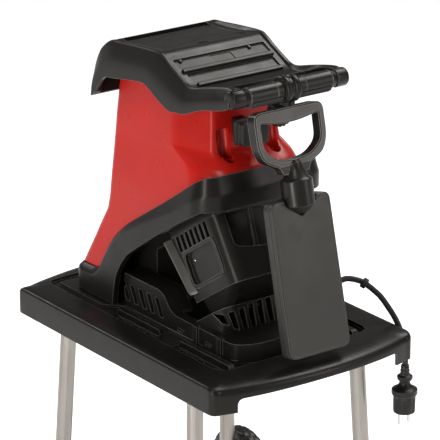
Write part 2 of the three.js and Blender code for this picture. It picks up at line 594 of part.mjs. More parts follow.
function buildTamper() {
  const half = TAMPER.width / 2;
  const { bottom, top, thickness } = TAMPER;
  const blade = outline([[-half, bottom, 12], [half, bottom, 12], [half - 2, top, 12], [-half + 2, top, 12]], 0, 5);
  const notch = outline([[-27, top + 2], [27, top + 2], [27, HUB.shoulder - 3], [0, HUB.bottom - 6],
    [-27, HUB.shoulder - 3]]);
  const paddle = cut(solid(alongY(blade, 0, thickness)), solid(alongY(notch, -5, thickness + 5)));
  part('tamper_paddle', paddle, BLACK, tamper);
  const loop = solid(alongY(outline(GRIP_OUTER, 0, 4), 0, 17));
  const opening = solid(alongY(outline(GRIP_INNER, 0, 4), -5, 30));
  const hub = [[0, HUB.bottom], [6, HUB.bottom], [HUB.radius, HUB.shoulder], [HUB.radius, HUB.top],
    [10, HUB.tip - 2], [0, HUB.tip]];
  const middle = thickness / 2;
  const screwHole = turned(rod(3 + GAP, 40), [0, middle, 222], [0, 1, 0], 12);
  const spindle = solid(turned(hub, [0, HUB.y, 0], [0, 0, 1], 28));
  part('tamper_handle', cut(cut(loop, opening).add(spindle), solid(screwHole)), GREY, tamper);
  part('tamper_screw', solid(turned(rod(3, 18), [0, middle + 1, 222], [0, 1, 0], 12)), STEEL, tamper);
}

// ---------- mains lead ----------
const GLAND = { x: 90 + GAP, y: -138, z: 48 };
const SLEEVE_END = [133, -150, 61];
const CABLE_ROUTE = [[134.1, -150.3, 61.3], [143, -153.5, 63], [153, -161, 61.5], [164, -170, 56],
  [178.6, -187, 39],
  [187, -198, 22], [194, -208, 4], [197.5, -217, -14], [198, -225, -36], [198.5, -229, -58],
  [198.5, -229, -66]];
const CABLE_RING = { length: 7, radius: 8, play: 0.9 };
const PLUG = { top: [198.5, -229, -66.3], length: 78, pinSpread: 9.5, pinRadius: 2.4, pinLength: 19 };
const PLUG_PROFILE = [[0, 0], [6, 0], [7.5, 14], [7.5, 16], [12, 17], [12, 24], [8.5, 26], [10, 33],
  [19, 38], [20, 40],
  [20, 48], [17.5, 50], [17.5, PLUG.length], [0, PLUG.length]];

function buildLead() {
  const start = new THREE.Vector3(GLAND.x, GLAND.y, GLAND.z);
  const reach = new THREE.Vector3(...SLEEVE_END).sub(start);
  const along = reach.clone().normalize().toArray();
  const flange = solid(turned(rod(11, 3), start.toArray(), [1, 0, 0], 20));
  const root = start.clone().addScaledVector(reach, -0.02).toArray();
  const length = reach.length() * 1.02;
  let sleeve = solid(turned([[0, 0], [9, 0], [8, 12], [6.3, length], [0, length]], root, along, 20));
  sleeve = sleeve.subtract(solid(box([60, GLAND.x], [-170, -110], [20, 80])));
  part('cable_gland', flange.add(sleeve), RUBBER);
  const circle = new THREE.Shape().absarc(0, 0, CABLE_RADIUS, 0, 2 * Math.PI);
  const route = new THREE.CatmullRomCurve3(CABLE_ROUTE.map((p) => new THREE.Vector3(...p)), false,
    'centripetal');
  const steps = 18;
  part('power_cable', extrude(circle, 1, { extrudePath: route, steps, curveSegments: 5 }), RUBBER);
  const [before, at, after] = CABLE_ROUTE.slice(2, 5).map((p) => new THREE.Vector3(...p));
  const heading = after.sub(before).normalize();
  const { length: ringLength, radius: ringRadius, play } = CABLE_RING;
  const ringStart = at.addScaledVector(heading, -ringLength / 2).toArray();
  const ring = turned(tube(CABLE_RADIUS + play, ringRadius, ringLength), ringStart, heading.toArray(), 16);
  part('cable_ring', solid(ring), RUBBER);
  const down = [0, 0, -1];
  part('plug', solid(turned(PLUG_PROFILE, PLUG.top, down, 24)), RUBBER);
  const [x, y, z] = PLUG.top;
  const { pinRadius: r, pinLength } = PLUG;
  const pin = [[0, 0], [r, 0], [r, pinLength - 2], [r - 0.8, pinLength], [0, pinLength]];
  for (const [side, hand] of [[-1, 'left'], [1, 'right']]) {
    const root = [x + side * PLUG.pinSpread, y, z - PLUG.length - GAP];
    part(`plug_pin_${hand}`, solid(turned(pin, root, down, 12)), STEEL);
  }
}

function buildShoulderScrews(hopper) {
  for (const [side, hand] of [[-1, 'left'], [1, 'right']]) {
    const { x, y, z, radius } = SHOULDER_SCREW;
    const head = turned(rod(radius, 6), [side * x, y, z], [0, 0, 1], 12);
    part(`hopper_screw_${hand}`, cut(solid(head), hopper.translate([0, 0, 0.4])), STEEL);
  }
}

part('base_table', buildTable(), BLACK);
buildLegs();
buildWheels();
part('base_frame', buildBaseFrame(), BLACK);
part('fan_cowl', buildFanCowl(), DARK);
part('hinge_pin', solid(turned(rod(HINGE.pinRadius, 164), [-82, HINGE.y, HINGE.z], [1, 0, 0], 20)), STEEL);
buildDrive();
part('discharge_chute', buildDischargeChute(), DARK);
const hopperShell = buildHopper();
part('hopper', hopperShell, RED);
part('arch_band', buildBand(), BLACK);
part('feed_chute', buildFeedChute(), DARK);
part('chamber_cover', buildChamberCover(), STEEL, drive);
part('hood', buildHood(), BLACK);
buildFlap();
buildBar();
buildKnob();
buildSwitch(hopperLoft(0));
buildShoulderScrews(hopperLoft(0));
buildTamper();
buildLead();

const chipper = new THREE.Group();
chipper.add(machine);
export default chipper;
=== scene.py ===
"""The looks of the wood chipper: moulded plastic housings, tamper, stand and mains lead around the CAD frame.

Pieces are drawn in millimetres from the middle of the table top, as the frame's own pieces are laid out,
and turned into metres in the frame's own axes when their meshes are made."""

import math

import bmesh
import bpy
from mathutils import Matrix, Vector


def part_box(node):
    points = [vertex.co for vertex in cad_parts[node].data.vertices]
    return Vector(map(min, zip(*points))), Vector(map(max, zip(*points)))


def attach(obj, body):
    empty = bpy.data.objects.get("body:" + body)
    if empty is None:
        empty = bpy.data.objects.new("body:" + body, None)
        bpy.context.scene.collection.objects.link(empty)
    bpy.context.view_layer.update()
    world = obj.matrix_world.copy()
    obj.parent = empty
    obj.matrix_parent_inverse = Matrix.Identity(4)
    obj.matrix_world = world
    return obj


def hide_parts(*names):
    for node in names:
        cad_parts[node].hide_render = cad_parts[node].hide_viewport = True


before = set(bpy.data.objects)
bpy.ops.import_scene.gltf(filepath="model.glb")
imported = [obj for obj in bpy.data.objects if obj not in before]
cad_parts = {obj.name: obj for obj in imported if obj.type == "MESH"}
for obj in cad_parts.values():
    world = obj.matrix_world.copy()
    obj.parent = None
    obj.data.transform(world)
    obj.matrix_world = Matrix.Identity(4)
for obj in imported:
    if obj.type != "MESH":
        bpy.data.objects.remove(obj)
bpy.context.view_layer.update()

MM = 0.001
TABLE_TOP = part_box("base_table")[1].z
FLOOR_Z = -470
STAND, HOPPER_UNIT, TAMPER = "stand", "hopper_unit", "tamper"
HANDS = ((-1, "left"), (1, "right"))


def at(x, y, z):
    """A point given in millimetres from the middle of the table top, in metres in the frame."""
    return Vector((x * MM, y * MM, TABLE_TOP + z * MM))


# ---------- camera, light and floor ----------

LIGHTS = [  # name, place and size in metres, power in watts
    ("key", (1.5, 0.1, 2.8), (1.4, 1.3), 64),
    ("edge", (-1.1, -1.0, 2.7), (0.4, 0.4), 14),
    ("left_strip", (-2.6, -1.1, 0.98), (0.2, 1.8), 48),
    ("front", (1.5, -2.5, 1.6), (0.9, 1.7), 24),
    ("rear", (-0.9, 2.4, 2.2), (1.4, 0.8), 26),
]
LIT_MIDDLE = Vector((0, 0, 0.65))
FLOOR_REACH, FLOOR_DROP = 12, 0.0005


def place_object(name, data):
    obj = bpy.data.objects.new(name, data)
    bpy.context.scene.collection.objects.link(obj)
    return obj


def aim(obj, forward):
    obj.rotation_mode = "QUATERNION"
    obj.rotation_quaternion = forward.to_track_quat("-Z", "Y")


def build_camera():
    pitch, azimuth = math.radians(19.73), math.radians(36.5)
    data = bpy.data.cameras.new("camera")
    data.sensor_width = 36
    data.lens = 232.3
    data.clip_end = 50
    camera = place_object("camera", data)
    camera.location = at(-2407.7, -3276.6, 1602.0)
    level = math.cos(pitch)
    aim(camera, Vector((math.sin(azimuth) * level, math.cos(azimuth) * level, -math.sin(pitch))))
    bpy.context.scene.camera = camera


def area_light(name, place, size, power):
    data = bpy.data.lights.new(name, "AREA")
    data.shape = "RECTANGLE"
    data.size, data.size_y = size
    data.energy = power
    light = place_object(name, data)
    light.location = place
    aim(light, LIT_MIDDLE - Vector(place))


def build_studio():
    scene = bpy.context.scene
    scene.view_settings.view_transform = "Standard"
    world = bpy.data.worlds.new("studio")
    world.use_nodes = True
    background = world.node_tree.nodes["Background"]
    background.inputs["Color"].default_value = (1.0, 1.0, 1.0, 1)
    background.inputs["Strength"].default_value = 0.2
    scene.world = world
    for light in LIGHTS:
        area_light(*light)
    floor_mesh = bpy.data.meshes.new("floor")
    corners = [(x * FLOOR_REACH, y * FLOOR_REACH, -FLOOR_DROP)
               for x, y in ((-1, -1), (1, -1), (1, 1), (-1, 1))]
    floor_mesh.from_pydata(corners, [], [(0, 1, 2, 3)])
    floor = place_object("floor", floor_mesh)
    paper = bpy.data.materials.new("floor_paper")
    paper.use_nodes = True
    shader = paper.node_tree.nodes["Principled BSDF"]
    shader.inputs["Base Color"].default_value = (0.85, 0.85, 0.85, 1)
    shader.inputs["Roughness"].default_value = 0.9
    shader.inputs["Emission Color"].default_value = (1, 1, 1, 1)
    shader.inputs["Emission Strength"].default_value = 0.62
    floor_mesh.materials.append(paper)


build_camera()
build_studio()


# ---------- materials ----------

class Nodes:
    """A material's node tree with short ways to add and link nodes."""

    def __init__(self, name):
        self.material = bpy.data.materials.new(name)
        self.material.use_nodes = True
        self.tree = self.material.node_tree
        self.shader = self.tree.nodes["Principled BSDF"]
        self.place = self.add("ShaderNodeTexCoord").outputs["Object"]

    def add(self, kind, inputs=(), **settings):
        """A new node with settings, and with values or links for its inputs."""
        node = self.tree.nodes.new(kind)
        for key, value in settings.items():
            setattr(node, key, value)
        for key, value in dict(inputs).items():
            if isinstance(value, bpy.types.NodeSocket):
                self.tree.links.new(value, node.inputs[key])
            else:
                node.inputs[key].default_value = value
        return node

    def link(self, source, shader_input):
        self.tree.links.new(source, self.shader.inputs[shader_input])

    def noise(self, scale, detail=3, stretch=(1, 1, 1)):
        mapping = self.add("ShaderNodeMapping", {"Scale": stretch, "Vector": self.place})
        noise = self.add("ShaderNodeTexNoise",
                         {"Scale": scale, "Detail": detail, "Vector": mapping.outputs["Vector"]})
        return noise.outputs["Fac"]

    def span(self, value, low, high):
        """A noise's middle range spread from low to high."""
        node = self.add("ShaderNodeMapRange", {"From Min": 0.3, "From Max": 0.7, "To Min": low,
                                               "To Max": high, "Value": value})
        return node.outputs["Result"]

    def colours(self, value, first, second, painted_edge_highlight=None):
        ramp = self.add("ShaderNodeValToRGB", {"Fac": value})
        for stop, position, colour in zip(ramp.color_ramp.elements, (0.3, 0.7), (first, second)):
            stop.position = position
            stop.color = (*colour, 1)
        colour = ramp.outputs["Color"]
        # edges are mixed towards a lighter colour: a painted highlight along the edges
        if painted_edge_highlight:
            mix = self.add("ShaderNodeMix", data_type="RGBA")
            self.tree.links.new(self.edges(0.0016), mix.inputs["Factor"])
            self.tree.links.new(colour, mix.inputs["A"])
            mix.inputs["B"].default_value = (*painted_edge_highlight, 1)
            colour = mix.outputs["Result"]
        self.link(colour, "Base Color")

    def edges(self, radius):
        """High along edges, where the rounded normal leaves the surface's own, and zero elsewhere: the mask
        of the painted edge highlight.
        """
        rounded = self.add("ShaderNodeBevel", {"Radius": radius}, samples=6)
        own = self.add("ShaderNodeNewGeometry")
        likeness = self.add("ShaderNodeVectorMath", {0: rounded.outputs["Normal"], 1: own.outputs["Normal"]},
                            operation="DOT_PRODUCT")
        painted_highlight_share = self.add("ShaderNodeMapRange", {"From Min": 0.99, "From Max": 0.86, "To Max": 0.75,
                                              "Value": likeness.outputs["Value"]})
        return painted_highlight_share.outputs["Result"]

    def bump(self, value, strength, distance, after=None):
        inputs = {"Strength": strength, "Distance": distance, "Height": value}
        if after:
            inputs["Normal"] = after
        return self.add("ShaderNodeBump", inputs).outputs["Normal"]


def plastic(name, colour, rough, grain=0.25, grain_scale=900, variation=0.12, shine=0.35, painted_edge_highlight=None):
    """Moulded plastic: spark-eroded grain, faint flow marks, a little colour variation and, where a colour is
    given, a painted highlight along its edges.
    """
    n = Nodes(name)
    patches = n.noise(9, 4)
    darker = tuple(c * (1 - variation) for c in colour)
    lighter = tuple(min(1, c * (1 + variation)) for c in colour)
    n.colours(patches, darker, lighter, painted_edge_highlight)
    n.link(n.span(n.noise(38, 5), rough - 0.05, rough + 0.06), "Roughness")
    fine = n.bump(n.noise(grain_scale, 2), grain, 0.00012)
    n.link(n.bump(n.noise(16, 2), 0.05, 0.0008, fine), "Normal")
    n.shader.inputs["Specular IOR Level"].default_value = shine
    n.shader.inputs["Specular Tint"].default_value = (1, 0.94, 0.87, 1)
    return n.material


def metal(name, colour, rough, stretch=(1, 1, 1)):
    """Drawn or turned metal with fine marks along its length."""
    n = Nodes(name)
    streaks = n.noise(500, 3, stretch)
    n.colours(n.noise(14, 4), tuple(c * 0.9 for c in colour), colour)
    n.link(n.span(streaks, rough - 0.06, rough + 0.08), "Roughness")
    n.link(n.bump(streaks, 0.15, 0.0001), "Normal")
    n.shader.inputs["Metallic"].default_value = 1.0
    return n.material


# the lighter colours given for the edges are painted highlights along the edges
BLACK = plastic("black_plastic", (0.0085, 0.0075, 0.0066), 0.33, grain=0.3, shine=0.17,
                painted_edge_highlight=(0.16, 0.15, 0.137))
DARK = plastic("dark_plastic", (0.008, 0.0074, 0.0068), 0.4, grain=0.3, shine=0.25, painted_edge_highlight=(0.13, 0.122, 0.111))
PADDLE = plastic("paddle_plastic", (0.024, 0.0225, 0.021), 0.42, grain=0.45, painted_edge_highlight=(0.09, 0.084, 0.077))
HOOD_BLACK = plastic("hood_plastic", (0.009, 0.0081, 0.0072), 0.34, grain=0.3, shine=0.2,
                     painted_edge_highlight=(0.16, 0.149, 0.136))
RED = plastic("red_plastic", (0.40, 0.009, 0.0055), 0.31, grain=0.05, variation=0.05, shine=0.2)
GREY = plastic("handle_plastic", (0.009, 0.0084, 0.0076), 0.32, grain=0.3, shine=0.25,
               painted_edge_highlight=(0.28, 0.263, 0.24))
# a lighter copy of the handle's plastic for its front face: painted light where light falls on the face
HANDLE_FACE_PAINTED_LIGHT = plastic("handle_face_painted_light", (0.050, 0.0468, 0.0428), 0.38, grain=0.35, painted_edge_highlight=(0.30, 0.282, 0.258))
SHEEN = plastic("polished_black", (0.016, 0.0145, 0.013), 0.34, grain=0.2, shine=0.8)
GREEN = plastic("green_button", (0.02, 0.22, 0.05), 0.4)
RUBBER = plastic("rubber", (0.010, 0.010, 0.010), 0.6, grain=0.4, grain_scale=600)
STEEL = metal("machined_steel", (0.55, 0.54, 0.52), 0.32)
TUBE = metal("tube_steel", (0.31, 0.288, 0.262), 0.42, stretch=(1, 1, 0.04))
COPPER = metal("copper_winding", (0.50, 0.20, 0.09), 0.4)


# ---------- mesh helpers ----------

def new_object(name, vertices, faces, smooth):
    """A mesh object from vertices in millimetres, with edges sharper than smooth degrees left sharp."""
    mesh = bpy.data.meshes.new(name)
    mesh.from_pydata([at(*v) for v in vertices], [], faces)
    bm = bmesh.new()
    bm.from_mesh(mesh)
    bmesh.ops.remove_doubles(bm, verts=bm.verts, dist=1e-6)
    bmesh.ops.recalc_face_normals(bm, faces=bm.faces)
    bm.to_mesh(mesh)
    bm.free()
    obj = place_object(name, mesh)
    shade(obj, smooth)
    return obj


def shade(obj, degrees):
    obj.data.shade_smooth()
    obj.data.set_sharp_from_angle(angle=math.radians(degrees))


def modifier(obj, kind, **settings):
    made = obj.modifiers.new(kind.lower(), kind)
    for key, value in settings.items():
        setattr(made, key, value)


def bake(obj):
    """Applies all of the object's modifiers."""
    graph = bpy.context.evaluated_depsgraph_get()
    graph.update()
    mesh = bpy.data.meshes.new_from_object(obj.evaluated_get(graph))
    obj.modifiers.clear()
    obj.data = mesh


def combine(obj, operation, others):
    for other in others:
        modifier(obj, "BOOLEAN", object=other, operation=operation, solver="EXACT")
    bake(obj)
    for other in others:
        bpy.data.objects.remove(other)


def carve(obj, *cutters):
    combine(obj, "DIFFERENCE", cutters)


def join(obj, *additions):
    combine(obj, "UNION", additions)


def crop(obj, outer):
    combine(obj, "INTERSECT", [outer])


def round_edges(obj, width, segments=3, angle=32):
    modifier(obj, "BEVEL", width=width * MM, segments=segments, limit_method="ANGLE",
             angle_limit=math.radians(angle), harden_normals=True, use_clamp_overlap=True)
    modifier(obj, "WEIGHTED_NORMAL", keep_sharp=True)


def grid(name, rings, closed=False, smooth=40):
    """A surface through rings of as many points each.

    closed joins the last ring to the first; otherwise both are capped."""
    count = len(rings[0])
    faces = []
    for i in range(len(rings) if closed else len(rings) - 1):
        row, following = i * count, (i + 1) % len(rings) * count
        for j in range(count):
            beside = (j + 1) % count
            faces.append((row + j, row + beside, following + beside, following + j))
    if not closed:
        last = (len(rings) - 1) * count
        faces += [tuple(reversed(range(count))), tuple(range(last, last + count))]
    return new_object(name, [p for ring in rings for p in ring], faces, smooth)


def across(direction):
    """Two unit vectors across a direction, and the direction's own."""
    along = Vector(direction).normalized()
    helper = Vector((0, 0, 1)) if abs(along.z) < 0.9 else Vector((1, 0, 0))
    side = along.cross(helper).normalized()
    return side, along.cross(side).normalized(), along


def lathe(name, profile, origin, direction, segments=64, closed=False, smooth=35):
    """A turned piece; the profile lists (radius, distance along the direction)."""
    side, up, along = across(direction)
    rings = []
    for radius, distance in profile:
        ring = []
        for k in range(segments):
            turn = 2 * math.pi * k / segments
            spoke = side * math.cos(turn) + up * math.sin(turn)
            ring.append(Vector(origin) + along * distance + spoke * radius)
        rings.append(ring)
    return grid(name, rings, closed, smooth)


def arc_corner(previous, corner, following, radius, steps):
    start = corner + (previous - corner).normalized() * radius
    end = corner + (following - corner).normalized() * radius
    shares = [k / steps for k in range(steps + 1)]
    return [tuple(start * (1 - t) ** 2 + corner * 2 * t * (1 - t) + end * t * t) for t in shares]


def outline(points, radius=0, steps=5):
    """A closed outline of (a, b) or (a, b, radius) points, rounded as far as their edges allow."""
    n = len(points)
    spots = [Vector(point[:2]) for point in points]
    radii = [point[2] if len(point) > 2 else radius for point in points]
    limits = list(radii)
    for i in range(n):
        j = (i + 1) % n
        room = 0.94 * (spots[j] - spots[i]).length
        if radii[i] + radii[j] > room:
            share = room / (radii[i] + radii[j])
            limits[i] = min(limits[i], radii[i] * share)
            limits[j] = min(limits[j], radii[j] * share)
    made = []
    for i in range(n):
        if radii[i] <= 0:
            made.append(tuple(spots[i]))
        else:
            made += arc_corner(spots[i - 1], spots[i], spots[(i + 1) % n], limits[i], steps)
    return made


def rectangle(left, right, low, high, radius=0, steps=5):
    return outline([(left, low), (right, low), (right, high), (left, high)], radius, steps)


def grown(points, distance):
    """The outline moved outwards by a distance, or inwards by a negative one."""
    made = []
    n = len(points)
    pairs = [(points[i], points[(i + 1) % n]) for i in range(n)]
    sign = 1 if sum(p[0] * q[1] - q[0] * p[1] for p, q in pairs) > 0 else -1
    for i in range(n):
        a, b, c = (Vector(points[k % n][:2]) for k in (i - 1, i, i + 1))
        u, v = (b - a).normalized(), (c - b).normalized()
        normal = Vector((u.y + v.y, -u.x - v.x)).normalized() * sign
        stretch = 1 / max(0.5, normal.dot(Vector((u.y, -u.x)) * sign))
        made.append((b.x + normal.x * distance * stretch, b.y + normal.y * distance * stretch))
    return made


def prism(name, profile, low, high, axis="Z", turn=None):
    """An outline carried along an axis from low to high, then moved by the matrix turn, in millimetres."""
    order = {"Z": lambda a, b, c: (a, b, c), "X": lambda a, b, c: (c, a, b),
             "Y": lambda a, b, c: (a, c, b)}[axis]
    vertices = [order(a, b, end) for end in (low, high) for a, b in profile]
    if turn:
        vertices = [turn @ Vector(v) for v in vertices]
    n = len(profile)
    faces = [tuple(range(n)), tuple(range(n, 2 * n))]
    faces += [(k, (k + 1) % n, n + (k + 1) % n, n + k) for k in range(n)]
    return new_object(name, vertices, faces, 35)


def block(name, x, y, z, turn=None):
    return prism(name, rectangle(*x, *y), *z, turn=turn)


def leaning(place, angle):
    """The turn of something that leans about the X axis at a place."""
    return Matrix.Translation(place) @ Matrix.Rotation(angle, 4, "X")


def piece(obj, material, body, slot_name, *nodes):
    obj.data.materials.append(material)
    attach(obj, body)
    if nodes:
        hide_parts(*nodes)


def between(table, t):
    """Linear reading of a table of (place, value...) rows, the places falling or rising."""
    rows = sorted(table)
    if t <= rows[0][0]:
        return rows[0][1:]
    for low, high in zip(rows, rows[1:]):
        if t <= high[0]:
            share = (t - low[0]) / (high[0] - low[0])
            return tuple(a + (b - a) * share for a, b in zip(low[1:], high[1:]))
    return rows[-1][1:]


def smooth_path(points, steps):
    """Catmull-Rom points through the given ones, steps between each two."""
    pts = [Vector(p) for p in points]
    pts = [pts[0] * 2 - pts[1], *pts, pts[-1] * 2 - pts[-2]]
    made = []
    for p0, p1, p2, p3 in zip(pts, pts[1:], pts[2:], pts[3:]):
        for k in range(steps):
            t = k / steps
            made.append(0.5 * ((2 * p1) + (p2 - p0) * t + (2 * p0 - 5 * p1 + 4 * p2 - p3) * t * t
                               + (3 * p1 - p0 - 3 * p2 + p3) * t ** 3))
    made.append(pts[-2])
    return [tuple(p) for p in made]


# ---------- table ----------

TABLE_HALF_WIDTH, TABLE_HALF_DEPTH, TABLE_BULGE, TABLE_CORNER = 188, 261, 27, 14
SKIRT = 43
LEG_X, LEG_Y, LEG_SPLAY = 150, 165, 0.045
SLOT_PANELS = [(side, y0, y1) for side in (-1, 1) for y0, y1 in ((-35, 82), (-210, -80))]
SLOT_X, SLOT_BAR_X = 128, 115.5
# inset, height at the sides, height at the bulging ends
TABLE_LEVELS = [(0, -SKIRT, -SKIRT), (0, -30, -30), (0, -6, -16), (0.6, -3.4, -11.5), (2, -1.6, -8),
                (4.5, -0.7, -5.2), (9, -0.2, -3), (16, 0, -1.4), (25, 0, -0.4), (34, 0, 0)]


def leg_point(side, end, z):
    """The middle of a leg at a height; side and end are -1 or 1."""
    return side * (LEG_X - z * LEG_SPLAY), end * (LEG_Y - z * LEG_SPLAY), z


def table_ring(inset, side_z, end_z):
    """The table's outline, its front and rear edges bulging and rolled lower than its sides."""
    w, d, c = TABLE_HALF_WIDTH - inset, TABLE_HALF_DEPTH - inset, TABLE_CORNER
    half = []
    for k in range(41):
        t = k / 40
        half.append(((w - c) * (2 * t - 1), -d - 4 * TABLE_BULGE * t * (1 - t), end_z))
    for k in range(1, 8):
        t = k / 8
        half.append((w - c + c * (2 * t - t * t), -d + c * t * t, end_z + (side_z - end_z) * t))
    for k in range(31):
        half.append((w, -d + c + 2 * (d - c) * k / 30, side_z))
    for k in range(1, 8):
        t = k / 8
        half.append((w - c * t * t, d - c * (1 - t) ** 2, side_z + (end_z - side_z) * t))
    return half + [(-x, -y, z) for x, y, z in half]


def slot_holes():
    """Three holes in each panel; the two nearest the rear go right through."""
    holes = []
    for side, y0, y1 in SLOT_PANELS:
        for k in range(3):
            y = y0 + 22 + k * (y1 - y0 - 44) / 2
            x = side * SLOT_X
            low = -40 if y0 > -100 and k > 0 else -24
            holes.append(prism("slot_hole", rectangle(x - 4, x + 4, y - 8, y + 8, 2), low, 2))
    return holes


def build_table():
    table = grid("table_top", [table_ring(*level) for level in TABLE_LEVELS])
    under = grid("under", [table_ring(4, -60, -60), table_ring(4, -24, -24), table_ring(10, -10, -10)])
    arch = outline([(-149, -60, 0), (-149, -22, 10), (0, -17, 70), (149, -22, 10), (149, -60, 0)], steps=8)
    arches = prism("arches", arch, -330, 330, "Y")
    carve(table, under, arches, prism("pocket", rectangle(-141, 141, -214, 250, 24, 8), -5, 5))
    grooves, raised = [], []
    for side, y0, y1 in SLOT_PANELS:
        groove = outline([(side * 111, y0), (side * 139, y0 + 4), (side * 139, y1 - 4), (side * 111, y1)], 6)
        grooves.append(prism("groove", groove, -8.5, 5))
        bar = outline([(y0, -9, 0), (y0 + 4, 2.2, 3), (y1 - 4, 2.2, 3), (y1, -9, 0)])
        raised.append(prism("bar", bar, side * SLOT_BAR_X - 4.5, side * SLOT_BAR_X + 4.5, "X"))
        x = side * SLOT_X
        raised.append(block("slot_cup", (x - 8, x + 8), (y0 + 8, y1 - 8), (-27, -9.8)))
    carve(table, *grooves)
    join(table, *raised)
    cutters = [block("window", (-66, 66), (50, 124), (-60, 10)), *slot_holes()]
    sockets = [(side, end) for side in (-1, 1) for end in (-1, 1)]
    for side, end in sockets:
        down = (side * LEG_SPLAY, end * LEG_SPLAY, -1)
        cutters.append(lathe("bore", [(12.8, 0), (12.8, 60)], leg_point(side, end, -14), down, 32))
    carve(table, *cutters)
    round_edges(table, 0.9, 2, 40)
    piece(table, BLACK, STAND, "black_plastic", "base_table")
    for side, end in sockets:
        build_leg_socket(side, end)


def build_leg_socket(side, end):
    corner = f"{'front' if end < 0 else 'rear'}_{'left' if side < 0 else 'right'}"
    profile = [(13.2, 0), (17.2, 0), (17.2, 28), (16.4, 36), (15.6, 38.5), (13.2, 38.5)]
    down = (side * LEG_SPLAY, end * LEG_SPLAY, -1)
    socket = lathe(f"leg_socket_{corner}", profile, leg_point(side, end, -10.5), down, 40, closed=True)
    piece(socket, BLACK, STAND, "black_plastic")
    x, y, z = leg_point(side, end, -30)
    head = [(4.6, 0), (4.6, 1.6), (3.2, 2.8), (1.2, 3)]
    screw = lathe(f"leg_screw_{corner}", head, (x + side * 16.2, y, z), (side, 0, 0), 24)
    piece(screw, STEEL, STAND, "steel")


# ---------- hood and hopper ----------

# rear to front: place on the rim, the crease, the skirt's edge and the tray between the rims, each (y, z)
HOOD_STATIONS = [
    ((168.5, 321), (166, 321), (163, 321), (168.5, 321)),
    ((167.5, 345), (164, 339), (157.5, 326), (167.5, 345)),
    ((164, 368), (157, 355), (151, 333), (164, 368)),
    ((154, 391), (142, 374), (141, 345), (154, 391)),
    ((141, 405), (128, 383), (133, 354), (141, 404.8)),
    ((122, 416.5), (112, 390), (123, 360), (122, 416)),
    ((95, 419.5), (92, 392), (101, 363), (104, 414.8)),
    ((50, 424), (58, 396), (67, 369), (50, 418.4)),
    ((3, 427), (21, 399), (33, 374), (5, 424.2)),
    ((-13, 422.5), (4, 395), (18, 372), (-13, 418.5)),
    ((-31, 412.5), (-20, 385), (-8, 359), (-31, 409.5)),
    ((-55, 401), (-46, 376), (-37, 347.5), (-55, 397.5)),
    ((-73, 393.5), (-66, 371.5), (-57, 349), (-73, 389.5)),
    ((-90, 394), (-84, 372), (-78, 352), (-90, 387.5)),
    ((-120, 402), (-119, 383), (-116, 367), (-112, 391.5)),
    ((-150, 409.5), (-149, 391), (-146, 374.5), (-150, 406)),
    ((-172, 414), (-171, 397), (-168, 380), (-172, 412)),
    ((-183, 414.6), (-183, 401), (-182, 385), (-183, 413)),
    ((-188, 413.4), (-188, 403), (-187.5, 390), (-188, 412)),
]
HOOD_SLOPE = math.atan2(18.5, 42)


def hood_rings():
    """Rings of the hood from left to right, each running along its top and back along the skirt's edge."""
    rim, crease, skirt, inner = (smooth_path([s[k] for s in HOOD_STATIONS], 5) for k in range(4))

    def blend(first, second, t):
        return [(p[0] + (q[0] - p[0]) * t, p[1] + (q[1] - p[1]) * t) for p, q in zip(first, second)]

    half = [(106.4, blend(crease, skirt, 0.55)), (105.6, blend(crease, skirt, 0.12)),
            (104.6, blend(rim, crease, 0.93)), (103.2, blend(rim, crease, 0.72)),
            (98.6, blend(rim, crease, 0.14)), (96.6, blend(rim, crease, 0.03)), (94.2, rim),
            (91.6, blend(rim, inner, 0.12)), (89.4, blend(rim, inner, 0.75)), (88, inner), (60, inner),
            (30, inner)]
    levels = [(-x, top) for x, top in half] + [(0, inner)] + [(x, top) for x, top in reversed(half)]
    return [[(x, y, z) for y, z in top + skirt[::-1]] for x, top in levels]


def build_hood():
    hood = grid("hood_shell", hood_rings(), smooth=30)
    cavity = outline([(161, 290, 0), (160, 340, 8), (158, 362, 10), (146, 388, 10), (136, 397, 8),
                      (118, 408, 5), (3, 418, 8), (-30, 403.5, 8), (-72, 384.5, 12), (-106, 387, 6),
                      (-106, 300, 0)])
    low_cavity = outline([(159, 290, 0), (153, 340, 6), (138, 366, 8), (112, 384, 6), (58, 391, 6),
                          (20, 394, 5), (-20, 379, 6), (-46, 370, 6), (-66, 365.5, 6), (-106, 368, 6),
                          (-106, 300, 0)])
    grip = outline([(-84, -225, 0), (-84, -112, 14), (84, -112, 14), (84, -225, 0)], steps=8)
    carve(hood, prism("cavity", cavity, -94, 94, "X"), prism("low_cavity", low_cavity, -101.5, 101.5, "X"),
          prism("grip_gap", grip, 330, 450), prism("mouth", rectangle(-76.2, 76.2, 8, 115, 5), 395, 450),
          block("flap_relief", (-77, 77), (103, 122.5), (406.5, 450)))
    gaps = []
    for y, z, reach, half_length in ((-28.5, 411.4, 84, 11.25), (-58, 396.6, 80, 12)):
        gap = rectangle(-reach, reach, -half_length, half_length, 3)
        gaps.append(prism("slat_gap", gap, -3.2, 12, turn=leaning((0, y, z), HOOD_SLOPE)))
    carve(hood, *gaps)
    carve(hood, prism("patch", rectangle(-20, 20, -8.5, 8.5, 2), -4.4, 0,
                      turn=leaning((1, -28.5, 411.4), HOOD_SLOPE)))
    round_edges(hood, 1.1, 3, 38)
    piece(hood, HOOD_BLACK, HOPPER_UNIT, "black_plastic", "hood")
    tabs = [(f"slat_tab_{k + 1}", rectangle(-2.2, 2.2, -4, 2, 0.8), -2.6, 1.6,
             leaning((x, -19.6, 413.2), HOOD_SLOPE)) for k, x in enumerate((-71, 56))]
    slats = [(f"hood_slat_{k + 1}", rectangle(-3.2, 2.2, -4.2, 3.6, 2.4), -reach, reach,
              leaning((0, y, z), HOOD_SLOPE) @ Matrix.Rotation(math.pi / 2, 4, "Y"))
             for k, (y, z, reach) in enumerate(((-43, 404.2, 82.5), (-73.5, 390.4, 77)))]
    for name, section, low, high, turn in tabs + slats:
        strip = prism(name, section, low, high, turn=turn)
        round_edges(strip, 0.5, 2)
        piece(strip, HOOD_BLACK, HOPPER_UNIT, "black_plastic")


